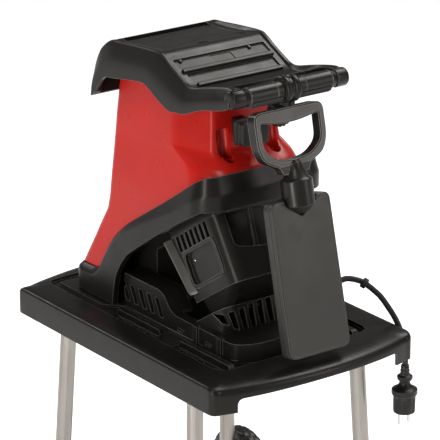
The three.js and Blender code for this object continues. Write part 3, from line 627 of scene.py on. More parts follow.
SEAM = [(206, 43), (160, 44), (148, 49), (138, 58), (125, 82), (112, 100), (99, 115), (66, 142), (5, 181),
        (-55, 220), (-93, 246), (-112, 257), (-131, 265), (-150, 267)]
HOPPER_LEVELS = [  # height, half width at the front and at the rear, front, rear, facet's share of the front
    (26, 105.4, 105.2, -133, 205, 0.0),
    (43, 105.4, 105, -133, 201, 0.0),
    (67, 105.3, 103.4, -133, 187.5, 0.0),
    (90, 105.2, 101, -133, 175, 0.0),
    (110, 105, 99, -133, 165, 0.0),
    (143, 104.4, 96, -133, 147, 0.0),
    (165, 103.6, 94, -133, 143.4, 0.0),
    (200, 101.4, 91, -133, 142.4, 0.0),
    (228, 98, 88, -132.8, 141.8, 0.02),
    (246, 95.4, 86, -132, 141.5, 0.05),
    (259, 93.2, 84.8, -129.4, 141.2, 0.1),
    (267, 91.8, 84, -123, 141, 0.2),
    (274, 90.6, 83.5, -112, 140.8, 0.4),
    (280, 89.6, 83, -101, 140.6, 0.62),
    (285, 88.9, 82.6, -93, 140.4, 0.84),
    (289, 88.3, 82.3, -90, 140.3, 0.96),
    (296, 87.6, 81.8, -88.8, 140, 1.0),
    (306, 86.5, 81, -87.2, 139.4, 1.0),
    (336, 83, 78.8, -82.8, 137, 1.0),
    (372, 79, 76, -77, 133.6, 1.0),
]
HOPPER_WALL = 3.2
SCREW_X, SCREW_Y, SCREW_Z = 43, -104, 266
BOSS_LEAN = (0, 0.13, 1)
UP = (0, 0, 1)


def hopper_section(front_half, rear_half, front, rear, facet, inset):
    """One level of the hopper: flat sides, rounded rear, and two facets on the front higher up."""
    side_end = front + 40 + 20 * facet
    nose_x = front_half - (30 - 4 * facet)
    right = [(rear_half - inset, rear - inset, 16), (front_half - inset, side_end, 26 - 13 * facet),
             (nose_x - inset * 0.6, front + inset, 30 - 24 * facet)]
    left = [(-x, y, r) for x, y, r in reversed(right)]
    return outline(right + left, steps=6)


def hopper_body(name, inset, extra=0):
    """The hopper's outer shape, set in by a distance and carried up by an extra height."""
    heights = [level[0] for level in HOPPER_LEVELS]
    wanted = {heights[-1] + extra}
    for low, high in zip(heights, heights[1:]):
        wanted |= {low + step * (high - low) / 3 for step in range(3)}
    rings = [[(x, y, z) for x, y in hopper_section(*between(HOPPER_LEVELS, z), inset)]
             for z in sorted(wanted)]
    return grid(name, rings, smooth=28)


def build_hopper():
    hopper = hopper_body("hopper_shell", 0)
    inner = hopper_body("hopper_hollow", HOPPER_WALL, 2)
    bosses, pockets = [], []
    channel = [(11.6, 0), (11.6, 40), (10.4, 44), (6, 46.6)]
    seat = [(7.6, 0), (7.9, 10), (9.2, 13), (9.6, 30)]
    for x in (-SCREW_X, SCREW_X):
        bosses.append(lathe("boss", [(15.5, 0), (15.5, 72)], (x, SCREW_Y + 12, 262), BOSS_LEAN, 40))
        bosses.append(lathe("boss_foot", [(12, 0), (12, 30)], (x, SCREW_Y, 252), UP, 40))
        pockets.append(lathe("channel", channel, (x, -92.5, SCREW_Z + 9), BOSS_LEAN, 40))
        pockets.append(lathe("screw_seat", seat, (x, SCREW_Y, SCREW_Z), UP, 40))
    for boss in bosses:
        modifier(boss, "BOOLEAN", object=hopper, operation="INTERSECT", solver="EXACT")
        bake(boss)
    carve(hopper, inner)
    join(hopper, *bosses)
    below = [(y, z + 0.4) for y, z in smooth_path(SEAM, 4)]
    below += [(-170, 267), (-170, -30), (240, -30), (240, 43.4)]
    carve(hopper, prism("below_seam", below, -150, 150, "X"), *pockets)
    round_edges(hopper, 0.8, 2, 50)
    piece(hopper, RED, HOPPER_UNIT, "red_plastic", "hopper")


def build_hopper_screws():
    profile = [(6.2, 0), (6.2, 1.6), (5.4, 2.6), (2.6, 3.1), (2.4, 1.2)]
    for side, hand in HANDS:
        screw = lathe(f"hopper_screw_head_{hand}", profile, (side * SCREW_X, SCREW_Y, SCREW_Z - 0.6), UP, 32)
        piece(screw, STEEL, HOPPER_UNIT, "steel", f"hopper_screw_{hand}")


SWITCH_LEFT, SWITCH_RIGHT, SWITCH_LOW, SWITCH_HIGH, SWITCH_FRONT = -38, 10, 301, 338, -120


def build_switch():
    """A shallow box on a narrow neck, and the guard in front of its buttons."""
    left, right, low, high, front = SWITCH_LEFT, SWITCH_RIGHT, SWITCH_LOW, SWITCH_HIGH, SWITCH_FRONT
    face = outline([(left, low, 6), (right, low, 6), (right, high, 5), (left, high, 5)])
    box = prism("switch_plate", face, front, front + 14, "Y")
    join(box, prism("switch_neck", rectangle(-24, -4, 306, 333, 2), front + 13, -80, "Y"))
    rim = rectangle(left - 2.5, right + 2.5, low - 1, high + 1.5, 6)
    join(box, prism("switch_rim", rim, front + 4.6, front + 8.4, "Y"))
    carve(box, *(block("key_hole", (x - 8.4, x + 8.4), (front - 2, front + 12), (303, 328))
                 for x in (-25, -3)))
    round_edges(box, 0.8, 2)
    piece(box, DARK, HOPPER_UNIT, "dark_plastic", "switch_box")
    guard = prism("switch_guard", face, front - 10.6, front - 0.4, "Y")
    inner = rectangle(left + 2.6, right - 2.6, low + 2.6, high - 2.6, 3)
    carve(guard, prism("guard_inner", inner, front - 8, front + 1, "Y"))
    round_edges(guard, 0.8, 2)
    piece(guard, DARK, "cover", "dark_plastic", "switch_cover")


# ---------- black band ----------

BAND_HALF_WIDTH, BAND_FRONT, BAND_REAR = 116, -140, 206
BAND_LOW = [(-150, 214), (-125, 212), (-114, 206), (-67, 178), (-25, 152), (27, 117), (59, 94), (76, 74),
            (90, 51), (96, 28), (100, 0.6), (104, 0.5), (220, 0.5)]
CREASE_DROP = [(-150, 25), (-94, 25), (-67, 24), (23, 13), (76, 10), (117, 13), (160, 9), (206, 8)]
HINGE_Y, HINGE_Z, HINGE_BORE = 214, 12, 4.3


def band_plan():
    """Points round the band with their outward normals, starting at the middle of the front."""
    w, front, rear = BAND_HALF_WIDTH, BAND_FRONT, BAND_REAR
    path = [(-x, front, 0, -1) for x in (0, 20, 40, 60)]
    for k in range(13):
        turn = math.radians(90 * k / 12)
        path.append((-w + 36 - 36 * math.sin(turn), front + 36 - 36 * math.cos(turn), -math.sin(turn),
                     -math.cos(turn)))
    y = front + 36
    while y < rear - 24:
        y += 1.5 if 86 < y < 106 else 5
        path.append((-w, y, -1, 0))
    for k in range(9):
        turn = math.radians(90 * k / 8)
        path.append((-w + 20 - 20 * math.cos(turn), rear - 20 + 20 * math.sin(turn), -math.cos(turn),
                     math.sin(turn)))
    path += [(-x, rear, 0, 1) for x in (60, 30, 0)]
    return path + [(-x, y, -nx, ny) for x, y, nx, ny in reversed(path[1:-1])]


def hinge_bore():
    return lathe("pin_hole", [(HINGE_BORE, 0), (HINGE_BORE, 240)], (-120, HINGE_Y, HINGE_Z), (1, 0, 0), 32)


def build_band():
    seam = smooth_path(sorted(SEAM), 4)
    rings = []
    for x, y, nx, ny in band_plan():
        top, drop, low = (between(table, y)[0] for table in (seam, CREASE_DROP, BAND_LOW))
        profile = [(8.4, top), (7.6, top - 0.4), (1.4, top - drop + 1.6), (0.3, top - drop - 1.2),
                   (0, top - drop - 5), (0, low + 1.6), (1.2, low + 0.3), (3, low), (9.5, low),
                   (10.4, low + 1), (10.4, top - 0.6)]
        rings.append([(x - nx * inset, y - ny * inset, z) for inset, z in profile])
    band = grid("curved_band", rings, closed=True, smooth=30)
    knuckle = lathe("knuckle", [(8, 0), (8, 135)], (-67.5, HINGE_Y, HINGE_Z), (1, 0, 0), 40)
    join(band, knuckle, block("web", (-67.5, 67.5), (198, HINGE_Y), (7, 17)))
    lug_gaps = [block("lug_gap", (side * 74 - 8, side * 74 + 8), (186, 211), (-2, 28)) for side in (-1, 1)]
    carve(band, *lug_gaps, hinge_bore())
    shade(band, 30)
    piece(band, BLACK, HOPPER_UNIT, "black_plastic", "arch_band")


# ---------- base frame and fan cowl ----------

RAIL_X = 100


def build_base_frame():
    plan = outline([(-100, -190, 14), (-70, -208, 16), (70, -208, 16), (100, -190, 14), (100, 93, 6),
                    (-100, 93, 6)], steps=6)
    side_view = outline([(-225, -4.6, 0), (-225, 25, 0), (-36, 25, 14), (-12, 54, 14), (90, 54, 5),
                         (93, 48, 5), (93, -4.6, 0)], steps=6)
    rails = prism("rail", plan, -4.6, 70)
    crop(rails, prism("side_profile", side_view, -130, 130, "X"))
    hollow = outline([(-184, -10, 0), (-184, 21, 4), (-38, 21, 14), (-15, 50, 12), (89, 50, 3), (89, -10, 0)])
    motor_bay = outline([(-84, -148), (84, -148), (84, -40), (62, -40), (62, 70), (-62, 70), (-62, -40),
                         (-84, -40)], 6)
    carve(rails, prism("hollow", hollow, -91, 91, "X"), prism("motor_bay", motor_bay, 10, 80))
    foot_plan = outline([(-99, -191), (-68, -205), (68, -205), (99, -191), (104, 92), (126, 112), (126, 232),
                         (-126, 232), (-126, 112), (-104, 92)], 6)
    join(rails, prism("floor_plate", foot_plan, -4.7, -0.4))
    slots, additions, notches = [], [], []
    for x in (-RAIL_X, RAIL_X):
        outward = math.copysign(1, x)
        for k in range(5):
            y = 84 - k * 22
            slot = outline([(y, 11), (y - 10.5, 11), (y + 2.5, 39), (y + 13, 39)], 1.2)
            slots.append(prism("slant_slot", slot, x - 12, x + 12, "X"))
        clip_x, lug_x = x + outward * 0.6, outward * 74
        for y in (-100, -160):
            clip = rectangle(y - 4.5, y + 4.5, -2, 26.6, 1)
            additions.append(prism("clip", clip, clip_x - 3.6, clip_x + 3.6, "X"))
        lug = outline([(207, -3, 0), (207, 20, 5), (221, 20, 5), (221, -3, 0)])
        additions.append(prism("lug", lug, lug_x - 6, lug_x + 6, "X"))
        for y in (-130, -60):
            notch = outline([(y - 9, 8), (y - 3, 3), (y + 9, 3), (y + 9, 8)], 1)
            notches.append(prism("rail_notch", notch, x - 3, x + 4, "X"))
    carve(rails, *slots)
    join(rails, *additions)
    carve(rails, block("outlet", (-64, 64), (52, 122), (-20, 5)), hinge_bore(), *notches)
    round_edges(rails, 1.6, 3, 38)
    piece(rails, BLACK, STAND, "black_plastic", "base_frame")


# lower and upper end of each slanting slot, (x, z, x, z)
GRILLE = [(-79, 38, -86, 53), (-62, 27.5, -72, 57), (-43.5, 18, -55, 60), (-27, 9, -38.5, 63),
          (-9.5, 4.5, -22, 64.5), (8, 4.5, -5.5, 65)]


def build_fan_cowl():
    side_view = outline([(-70, 0.4, 0), (-70, 16.5, 0), (-150, 68.4, 3), (-150, 0.4, 0)])
    plan = outline([(-90, -70, 0), (-90, -150, 30), (90, -150, 30), (90, -70, 0)], steps=8)
    cowl = prism("cowl", plan, 0.4, 70)
    crop(cowl, prism("cowl_profile", side_view, -100, 100, "X"))
    inner = outline([(-73, -5), (-73, 13.5), (-140, 58), (-140, -5)])
    cutters = [prism("cowl_inner", inner, -80, 80, "X"),
               block("motor_neck", (-62, 62), (-141, -76), (16, 75))]
    for low_x, low, high_x, high in GRILLE:
        slot = outline([(low_x - 5, low + 2), (low_x + 5, low - 2), (high_x + 5, high + 1),
                        (high_x - 5, high)], 1.4)
        cutters.append(prism("grille_slot", slot, -158, -126, "Y"))
    carve(cowl, *cutters)
    round_edges(cowl, 1.0, 2, 35)
    piece(cowl, BLACK, STAND, "black_plastic", "fan_cowl")


# ---------- motor housing, in the drive's leaning frame ----------

DRIVE_TURN = leaning((0, -48.5, 182), math.radians(-33))
HOUSING_HALF_WIDTH, HOUSING_WALL = 85, 6
SHELF_Z, DECK_Z, COLLAR_TOP = -119, -20, -6


def drive(x, y, z):
    return DRIVE_TURN @ Vector((x, y, z))


def build_strut(name, side):
    """A rib down the side of the housing, with its rear flank sloping back to the wall."""
    rings = []
    for y, z in ((53, -20), (52.4, -21.6), (33, -106), (31.6, -113)):
        reach = 8.6 if -110 < z < -21 else 7
        section = [(0.1, 14), (0.1, -0.4), (reach - 0.6, 8), (reach, 9), (reach, 12.6), (reach - 1.2, 14)]
        rings.append([drive(side * (HOUSING_HALF_WIDTH + out), y + along, z) for out, along in section])
    strut = grid(name, rings)
    round_edges(strut, 0.6, 2)
    piece(strut, SHEEN, STAND, "black_plastic")


def build_housing_collar(plan):
    """A thin raised rim round the top of the housing."""
    collar = prism("housing_collar", grown(plan, 1.8), -20.6, COLLAR_TOP, turn=DRIVE_TURN)
    carve(collar, prism("collar_inside", grown(plan, 0.4), -40, 20, turn=DRIVE_TURN))
    round_edges(collar, 0.4, 2)
    piece(collar, BLACK, STAND, "black_plastic")


def housing_hollow(w):
    plan = outline([(-w, 49, 6), (-w, -67, 21), (w, -67, 21), (w, 49, 6)], steps=8)
    hollow = prism("inner", plan, SHELF_Z, -10, turn=DRIVE_TURN)
    side_view = outline([(49, -10), (38, SHELF_Z), (-200, SHELF_Z), (-200, -10)])
    crop(hollow, prism("keep", side_view, -120, 120, "X", turn=DRIVE_TURN))
    return hollow


def build_motor_housing():
    w = HOUSING_HALF_WIDTH
    plan = outline([(-w, 55, 8), (-w, -73, 26), (w, -73, 26), (w, 55, 8)], steps=12)
    housing = prism("housing", plan, -125, DECK_Z, turn=DRIVE_TURN)
    inner = housing_hollow(w - HOUSING_WALL)
    undercut = []
    for z, front, half in ((-122, -70, 83), (-126, -66, 80), (-149.6, -27, 74)):
        level = outline([(-half, 36, 6), (-half, front, 26), (half, front, 26), (half, 36, 6)], steps=8)
        undercut.append([drive(x, y, z) for x, y in level])
    join(housing, grid("undercut", undercut))
    build_housing_collar(plan)
    rear_cut = outline([(70, -15), (55, -15), (44, -130), (70, -130)])
    carve(housing, prism("rear_cut", rear_cut, -120, 120, "X", turn=DRIVE_TURN), inner)
    # the front is set back between two columns, above a shelf
    recess = outline([(-64, 10, 0), (-66, -73, 10), (0, -88, 60), (66, -73, 10), (64, 10, 0)], steps=8)
    carve(housing, prism("recess", recess, -90, -61, "Y", turn=DRIVE_TURN))
    join(housing, prism("recess_back", rectangle(-72, 72, -58, -62.5, 2), -121, DECK_Z, turn=DRIVE_TURN))
    cutters, additions = [], []
    for side in (-1, 1):
        wall = side * w
        for k in range(7):
            y = 42 - k * 13.4
            slot = rectangle(y - 8.6, y, -46, -21.5, 1)
            cutters.append(prism("vent", slot, wall - 8, wall + 8, "X", turn=DRIVE_TURN))
        panel = rectangle(-51, 32, -102, -52, 11, 8)
        cutters.append(prism("panel", panel, wall - side * 4, wall + side * 6, "X", turn=DRIVE_TURN))
        rim = rectangle(-56, 37, -107, -47, 15, 8)
        additions.append(prism("panel_rim", rim, wall - side * 3, wall + side * 2.2, "X", turn=DRIVE_TURN))
    for x, lean in ((-24, 10), (24, -10)):
        rib = outline([(x - 3, -80), (x + 3, -80), (x + 3 + lean, -22), (x - 3 + lean, -22)])
        additions.append(prism("recess_rib", rib, -66, -60, "Y", turn=DRIVE_TURN))
    join(housing, *additions)
    cutters.append(lathe("reset_hole", [(7.2, 0), (7.2, 30)], drive(w - 12, 8, -110), (1, 0, 0), 32))
    carve(housing, *cutters)
    round_edges(housing, 1.0, 2, 36)
    piece(housing, BLACK, STAND, "black_plastic", "motor_housing")
    for side, hand in HANDS:
        build_strut(f"housing_strut_{hand}", side)
        stud_at = drive(side * (w - 4.2), 16, -66)
        stud = lathe(f"panel_stud_{hand}", [(1.6, 0), (1.4, 1.2), (0.6, 1.8)], stud_at, (side, 0, 0), 16)
        piece(stud, STEEL, STAND, "steel")


# ---------- tamper, in its own leaning frame ----------

TAMPER_TURN = leaning((0, -271, 23), math.radians(-13.5))
PADDLE_HALF_WIDTH, PADDLE_BOTTOM, PADDLE_TOP, PADDLE_THICKNESS = 56, -8, 225, 22
GRIP_THICKNESS, HUB_Y = 17, 4
GRIP_OUTER = [(-24, 262, 3), (-27, 272, 6), (-54, 285, 12), (-63, 306, 14), (-63, 358, 15), (63, 358, 15),
              (63, 306, 14), (54, 285, 12), (27, 272, 6), (24, 262, 3)]
GRIP_INNER = [(0, 281, 16), (-30, 285, 12), (-52, 302, 12), (-53, 343, 6), (0, 331, 50), (53, 343, 6),
              (52, 302, 12), (30, 285, 12)]
HUB_PROFILE = [(5, 201.4), (8, 202), (23, 213), (24, 214.6), (24, 250), (23.4, 251.8), (21.8, 253.2),
               (19, 255), (12.4, 268), (10.6, 277), (6, 281)]


def tamper_prism(name, profile, low, high):
    return prism(name, profile, low, high, "Y", turn=TAMPER_TURN)


def groove_ring(name, shape, outside, inside, low, high):
    """A ring between two offsets of the paddle's outline, to be cut out of it."""
    ring = tamper_prism(name, grown(shape, outside), low, high)
    carve(ring, tamper_prism("ring_inside", grown(shape, inside), low - 5, high + 5))
    return ring


def build_paddle():
    half, bottom, top, thick = PADDLE_HALF_WIDTH, PADDLE_BOTTOM, PADDLE_TOP, PADDLE_THICKNESS
    shape = outline([(-half, bottom, 14), (half, bottom, 14), (half - 2, top, 13), (-half + 2, top, 13)],
                    steps=8)
    paddle = tamper_prism("paddle", shape, 0, thick)
    notch = outline([(-30, top + 4), (30, top + 4), (27, 217), (0, 198), (-27, 217)])
    carve(paddle, tamper_prism("notch", notch, -5, thick + 5))
    round_edges(paddle, 2.0, 4, 40)
    bake(paddle)
    carve(paddle, groove_ring("seam_ring", shape, 4, -1.1, 6.6, 8.4),
          groove_ring("front_ring", shape, -3.4, -4.6, -1, 0.5))
    shade(paddle, 35)
    piece(paddle, PADDLE, TAMPER, "black_plastic", "tamper_paddle")


def build_handle():
    outer, inner = outline(GRIP_OUTER, steps=8), outline(GRIP_INNER, steps=8)
    loop = tamper_prism("grip_loop", outer, 0, GRIP_THICKNESS)
    carve(loop, tamper_prism("grip_hole", inner, -5, 30))
    along = TAMPER_TURN.to_3x3() @ Vector(UP)
    join(loop, lathe("hub", HUB_PROFILE, TAMPER_TURN @ Vector((0, HUB_Y, 0)), along, 72))
    join(loop, tamper_prism("neck_wedge", outline([(-26, 271), (0, 246), (26, 271)]), 0.2, 10))
    round_edges(loop, 1.5, 4, 40)
    piece(loop, GREY, TAMPER, "grey_plastic", "tamper_handle")
    # the face plate takes the lighter copy of the handle's plastic: painted light on the handle's front face
    face = tamper_prism("grip_face", grown(outer, -2.6), -1.2, 2)
    carve(face, tamper_prism("face_hole", grown(inner, 2.4), -5, 30),
          block("face_foot", (-40, 40), (-60, 60), (240, 274), turn=TAMPER_TURN))
    round_edges(face, 0.9, 3, 40)
    piece(face, HANDLE_FACE_PAINTED_LIGHT, TAMPER, "grey_plastic")


# ---------- handle bar, collar and knob ----------

BAR_Y, BAR_Z, BAR_RADIUS, BAR_HALF = -186, 399, 14, 84
STUD_X, STUD_Y, STUD_Z = 12, -154, 353
PAD_START, PAD_SWEEP = 205, 130


def build_bar():
    profile = [(12, 0)]
    for r in (10, 58, 110, 158):
        profile += [(BAR_RADIUS, r - 0.9), (BAR_RADIUS - 0.55, r - 0.45), (BAR_RADIUS - 0.55, r + 0.45),
                    (BAR_RADIUS, r + 0.9)]
    profile.append((12, 2 * BAR_HALF))
    bar = lathe("handle_tube", profile, (-BAR_HALF, BAR_Y, BAR_Z), (1, 0, 0), smooth=25)
    piece(bar, BLACK, HOPPER_UNIT, "black_plastic", "handle_bar")
    end_profile = [(BAR_RADIUS - 0.6, 0), (BAR_RADIUS, 0.8), (BAR_RADIUS, 17.6), (13.2, 19.6), (11.4, 20.8),
                   (9, 21.2), (2, 21.2)]
    for side, hand in HANDS:
        end = lathe(f"bar_end_{hand}", end_profile, (side * (BAR_HALF + 0.2), BAR_Y, BAR_Z), (side, 0, 0), 56)
        piece(end, BLACK, HOPPER_UNIT, "black_plastic")
        pad = grip_pad(f"grip_pad_{hand}", side * 44)
        piece(pad, RUBBER, HOPPER_UNIT, "rubber", f"grip_{hand}")


def grip_pad(name, x):
    """A ribbed soft pad round the underside of the bar."""
    rings = []
    ribs = 56
    for i in range(ribs + 1):
        along = x - 28 + 56 * i / ribs
        height = 0.6 if i in (0, ribs) else 3.0 if i % 2 else 2.2
        outer, inner = [], []
        for k in range(17):
            turn = math.radians(PAD_START + PAD_SWEEP * k / 16)
            edge = 1 - abs(2 * k / 16 - 1) ** 6
            for row, r in ((outer, BAR_RADIUS + 0.4 + height * (0.25 + 0.75 * edge)),
                           (inner, BAR_RADIUS + 0.2)):
                row.append((along, BAR_Y + r * math.cos(turn), BAR_Z + r * math.sin(turn)))
        rings.append(outer + inner[::-1])
    return grid(name, rings, smooth=30)


def build_collar():
    half = [(14.3, 12.4), (17.6, 12.4), (19.6, 11.4), (20.4, 9.4), (20.2, 5), (19.2, 3.6), (17.2, 3.1),
            (17.0, 1.2)]
    profile = [(r, -d) for r, d in half] + [(r, d) for r, d in reversed(half)]
    collar = lathe("collar_ring", profile, (0, BAR_Y, BAR_Z), (1, 0, 0), closed=True)
    arm_side = outline([(BAR_Y + 2, BAR_Z - 12, 0), (BAR_Y + 2, BAR_Z - 21, 2),
                        (STUD_Y + 9.5, BAR_Z - 21, 2), (STUD_Y + 9.5, STUD_Z - 10, 3),
                        (STUD_Y + 16, STUD_Z - 10, 3), (STUD_Y + 16, BAR_Z - 13, 4)])
    arm = prism("collar_arm", arm_side, 1, 23, "X")
    round_edges(arm, 1.2, 2)
    bake(arm)
    carve(arm, lathe("bar_hole", [(15, 0), (15, 80)], (-40, BAR_Y, BAR_Z), (1, 0, 0), 48),
          lathe("stud_hole", [(4.3, 0), (4.3, 40)], (STUD_X, STUD_Y, STUD_Z), (0, 1, 0), 32))
    shade(arm, 35)
    join(collar, arm)
    shade(collar, 35)
    piece(collar, BLACK, HOPPER_UNIT, "black_plastic", "handle_collar")
    for k, x in enumerate((-6, 6)):
        lug = block(f"collar_lug_{k + 1}", (x - 3.4, x + 3.4), (BAR_Y - 7, BAR_Y + 7),
                    (BAR_Z - 25, BAR_Z - 18.5))
        round_edges(lug, 1.4, 3)
        piece(lug, BLACK, HOPPER_UNIT, "black_plastic")


def circle_turns(count):
    return [2 * math.pi * k / count for k in range(count)]


def build_knob():
    rings = []
    thickness = 17
    half = [(0, 0.2, 0), (0, 14, 0), (0.6, 18.6, 0.15), (2.2, 21.0, 0.8), (4, 22, 1)]
    for along, radius, ribs in half + [(thickness - a, r, depth) for a, r, depth in reversed(half)]:
        ring = []
        for turn in circle_turns(144):
            r = radius - ribs * (0.9 - 0.9 * math.cos(18 * turn))
            ring.append((STUD_X + r * math.cos(turn), STUD_Y - 8.5 + along, STUD_Z + r * math.sin(turn)))
        rings.append(ring)
    piece(grid("ribbed_knob", rings, smooth=35), DARK, "knob", "dark_plastic", "holder_knob")
    stud = lathe("knob_stud", [(4, 0), (4, 16.8), (3.2, 17.6)], (STUD_X, STUD_Y + 8.4, STUD_Z), (0, 1, 0), 32)
    piece(stud, STEEL, "knob", "steel")


# ---------- mains lead ----------

CABLE_RADIUS = 4.5
SLEEVE_START, SLEEVE_END = (90.3, -138, 48), (133, -150, 61)
CABLE_ROUTE = [(134.1, -150.3, 61.3), (143, -153.5, 63), (153, -161, 61.5), (164, -170, 56),
               (178.6, -187, 39), (187, -198, 22), (194, -208, 4), (197.5, -217, -14), (198, -225, -36),
               (198.5, -229, -58), (198.5, -229, -66)]
BAND_AT = 3
PLUG_X, PLUG_Y, PLUG_TOP = 198.5, -229, -66.3


def cable_rings(centre):
    """Round sections along the cable, each turned as little as can be from the one before."""
    rings = []
    side = None
    for i, p in enumerate(centre):
        before, after = Vector(centre[max(i - 1, 0)]), Vector(centre[min(i + 1, len(centre) - 1)])
        heading = (after - before).normalized()
        if side is None:
            side, up, _ = across(heading)
        else:
            side = (side - heading * side.dot(heading)).normalized()
            up = heading.cross(side)
        rings.append([Vector(p) + (side * math.cos(t) + up * math.sin(t)) * CABLE_RADIUS
                      for t in circle_turns(28)])
    return rings


def build_lead():
    centre = smooth_path(CABLE_ROUTE, 8)
    cable = grid("mains_cable", cable_rings(centre), smooth=50)
    piece(cable, RUBBER, STAND, "rubber", "power_cable")
    heading = Vector(CABLE_ROUTE[BAND_AT + 1]) - Vector(CABLE_ROUTE[BAND_AT - 1])
    ring_profile = [(5.2, -4), (7.4, -4), (8.2, -3), (8.2, 3), (7.4, 4), (5.2, 4)]
    ring = lathe("cable_band", ring_profile, CABLE_ROUTE[BAND_AT], heading, 40, closed=True)
    piece(ring, RUBBER, STAND, "rubber", "cable_ring")
    plug_pieces = build_plug()


def build_sleeve():
    """The ribbed bend relief that the cable comes out of."""
    reach = Vector(SLEEVE_END) - Vector(SLEEVE_START)
    profile = [(4.7, -0.2), (11.2, -0.2), (11.2, 3), (9.4, 4)]
    distance = 6.5
    while distance < reach.length - 5:
        r = 9 - 2.6 * distance / reach.length
        profile += [(r, distance), (r, distance + 2.4), (r - 1.1, distance + 2.9), (r - 1.1, distance + 3.9)]
        distance += 4.4
    profile += [(6.6, reach.length - 1.5), (6, reach.length), (4.7, reach.length + 0.2)]
    sleeve = lathe("cable_sleeve", profile, SLEEVE_START, reach, 40, closed=True)
    piece(sleeve, RUBBER, STAND, "rubber", "cable_gland")


def build_plug():
    """The plug and its pins, which the cable carries."""
    profile = [(4.6, 0), (6.0, 0.4), (6.6, 3), (6.9, 5), (6.1, 5.8), (6.1, 7.2), (7.2, 8), (7.4, 11),
               (6.4, 11.8), (6.4, 13.4), (7.6, 14.2), (8, 16.4), (10.6, 17.4), (12, 18.6), (12.2, 22),
               (11.2, 24.2), (8.8, 26), (8.2, 28), (8.8, 31), (10.8, 34), (15.5, 37.6), (18.6, 39),
               (20, 40.4), (20.2, 46.6), (19.4, 48.4), (17.6, 49.6), (17.4, 52)]
    plug = lathe("plug_head", profile, (PLUG_X, PLUG_Y, PLUG_TOP), (0, 0, -1))
    rings = []
    for depth, radius in ((50, 17.2), (52, 17.5), (75, 17.3), (77.4, 16.6), (78, 15.4)):
        ring = []
        for k, turn in enumerate(circle_turns(96)):
            r = radius - (0.8 if (k % 12) < 5 and 51 < depth < 76 else 0)
            ring.append((PLUG_X + r * math.cos(turn), PLUG_Y + r * math.sin(turn), PLUG_TOP - depth))
        rings.append(ring)
    join(plug, grid("plug_body", rings))
    shade(plug, 28)
    piece(plug, DARK, STAND, "rubber", "plug")
    pins = []
    for side, hand in HANDS:
        pin_at = (PLUG_X + side * 9.5, PLUG_Y, PLUG_TOP - 78)
        pin = lathe(f"pin_{hand}", [(2.4, 0), (2.4, 17.6), (1.9, 18.8), (1.2, 19.2)], pin_at, (0, 0, -1), 32)
        piece(pin, STEEL, STAND, "steel", f"plug_pin_{hand}")
        pins.append(pin)
    return [plug] + pins


# ---------- wheels, feet and the pieces kept from the frame ----------

WHEEL_X, WHEEL_Y, WHEEL_RADIUS = 199, 183, 75
WHEEL_Z = FLOOR_Z + WHEEL_RADIUS
# radius, distance from the middle and depth of the tread's notches, from the bore to the middle of the tread
WHEEL_HALF = [(5.4, 14.4, 0), (15.4, 14.4, 0), (16.4, 13.4, 0), (18, 4.4, 0), (20, 3.6, 0), (55, 3.6, 0),
              (57, 4.6, 0), (58.6, 12.4, 0), (60, 13.4, 0), (69.6, 13.4, 0), (72.6, 11.6, 0.5),
              (74.8, 8.6, 1), (WHEEL_RADIUS, 7.4, 1), (WHEEL_RADIUS, 1.2, 1), (73.4, 0.8, 0)]


def build_tyre(side, hand):
    """The wheel's turned body, the notches of its outer half set over by a quarter of their pitch."""
    rings = []
    stations = [(radius, -along, notch) for radius, along, notch in WHEEL_HALF] + WHEEL_HALF[::-1]
    count = 144
    for radius, along, notch in stations:
        shift = 1.5 if along > 0 and notch else 0
        ring = []
        for k in range(count):
            turn = 2 * math.pi * (k + shift) / count
            r = radius - (1.5 * notch if k % 6 in (0, 1) else 0)
            ring.append((side * (WHEEL_X + along), WHEEL_Y + r * math.cos(turn),
                         WHEEL_Z + r * math.sin(turn)))
        rings.append(ring)
    tyre = grid(f"tyre_{hand}", rings, closed=True, smooth=32)
    piece(tyre, DARK, f"{hand}_wheel", "dark_plastic", f"wheel_{hand}")


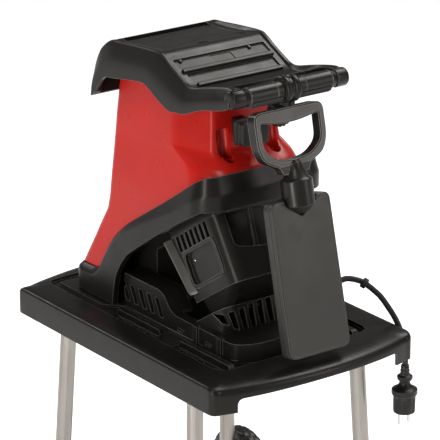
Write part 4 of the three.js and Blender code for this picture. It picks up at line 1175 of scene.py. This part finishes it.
def build_wheels():
    rib = outline([(16, -3.2), (58, -2.4), (58, 2.4), (16, 3.2)])
    cap_profile = [(12.9, 0), (13.2, 0.6), (13.2, 4.4), (12.4, 5.6), (9.4, 10.6), (8.4, 11.6), (3, 12.2)]
    for side, hand in HANDS:
        build_tyre(side, hand)
        for k in range(6):
            turn = leaning((side * WHEEL_X, WHEEL_Y, WHEEL_Z), math.radians(60 * k))
            for face, sign in (("outer", side), ("inner", -side)):
                spoke = prism(f"spoke_{hand}_{face}_{k + 1}", rib, sign * 3.2, sign * 9.5, "X", turn=turn)
                round_edges(spoke, 0.8, 2)
                piece(spoke, DARK, f"{hand}_wheel", "dark_plastic")
        cap = lathe(f"cap_{hand}", cap_profile, (side * (WHEEL_X + 14.9), WHEEL_Y, WHEEL_Z), (side, 0, 0), 48)
        piece(cap, GREY, f"{hand}_wheel", "grey_plastic", f"hub_cap_{hand}")


def build_feet():
    profile = [(12.8, 3), (12.8, 41.6), (15.2, 42), (16, 41), (16.4, 33), (17.2, 32.2), (17.2, 26),
               (16.4, 25.2), (16.4, 19), (17.4, 18.2), (17.6, 4), (17, 0.6), (6, 0.4), (6, 3)]
    for side, hand in HANDS:
        base = leg_point(side, -1, FLOOR_Z + 0.6)
        foot = lathe(f"foot_sleeve_{hand}", profile, base, (-side * LEG_SPLAY, LEG_SPLAY, 1), 48, closed=True)
        piece(foot, RUBBER, STAND, "rubber", f"foot_{hand}")


KEPT = [
    (TUBE, ("leg_front_left", "leg_front_right", "leg_rear_left", "leg_rear_right")),
    (STEEL, ("axle", "hinge_pin", "cutter_deck", "motor_stator", "motor_bracket", "bearing_upper",
             "bearing_lower", "flap_pin", "tamper_screw", "rotor", "cutting_disc", "disc_bolt", "blade_a",
             "blade_b", "blade_screw_a1", "blade_screw_a2", "blade_screw_b1", "blade_screw_b2")),
    (COPPER, ("stator_winding",)),
    (BLACK, ("discharge_chute", "feed_chute", "chamber_cover")),
    (HOOD_BLACK, ("feed_flap",)),
    (GREEN, ("button_on",)),
    (RED, ("button_off", "reset_button")),
]


def dress_kept_nodes():
    """The frame's own meshes that stay in view, with their materials and slightly rounded edges."""
    for material, names in KEPT:
        for obj in (bpy.data.objects[name] for name in names):
            obj.data.materials.clear()
            obj.data.materials.append(material)
            modifier(obj, "WELD", merge_threshold=1e-6)
            modifier(obj, "DECIMATE", decimate_type="DISSOLVE", angle_limit=math.radians(0.6))
            modifier(obj, "BEVEL", width=0.6 * MM, segments=2, limit_method="ANGLE",
                     angle_limit=math.radians(40), harden_normals=True)
            modifier(obj, "WEIGHTED_NORMAL", keep_sharp=True)


build_table()
build_hood()
build_hopper()
build_hopper_screws()
build_switch()
build_band()
build_base_frame()
build_fan_cowl()
build_motor_housing()
build_paddle()
build_handle()
build_bar()
build_collar()
build_knob()
build_lead()
build_sleeve()
build_wheels()
build_feet()
dress_kept_nodes()
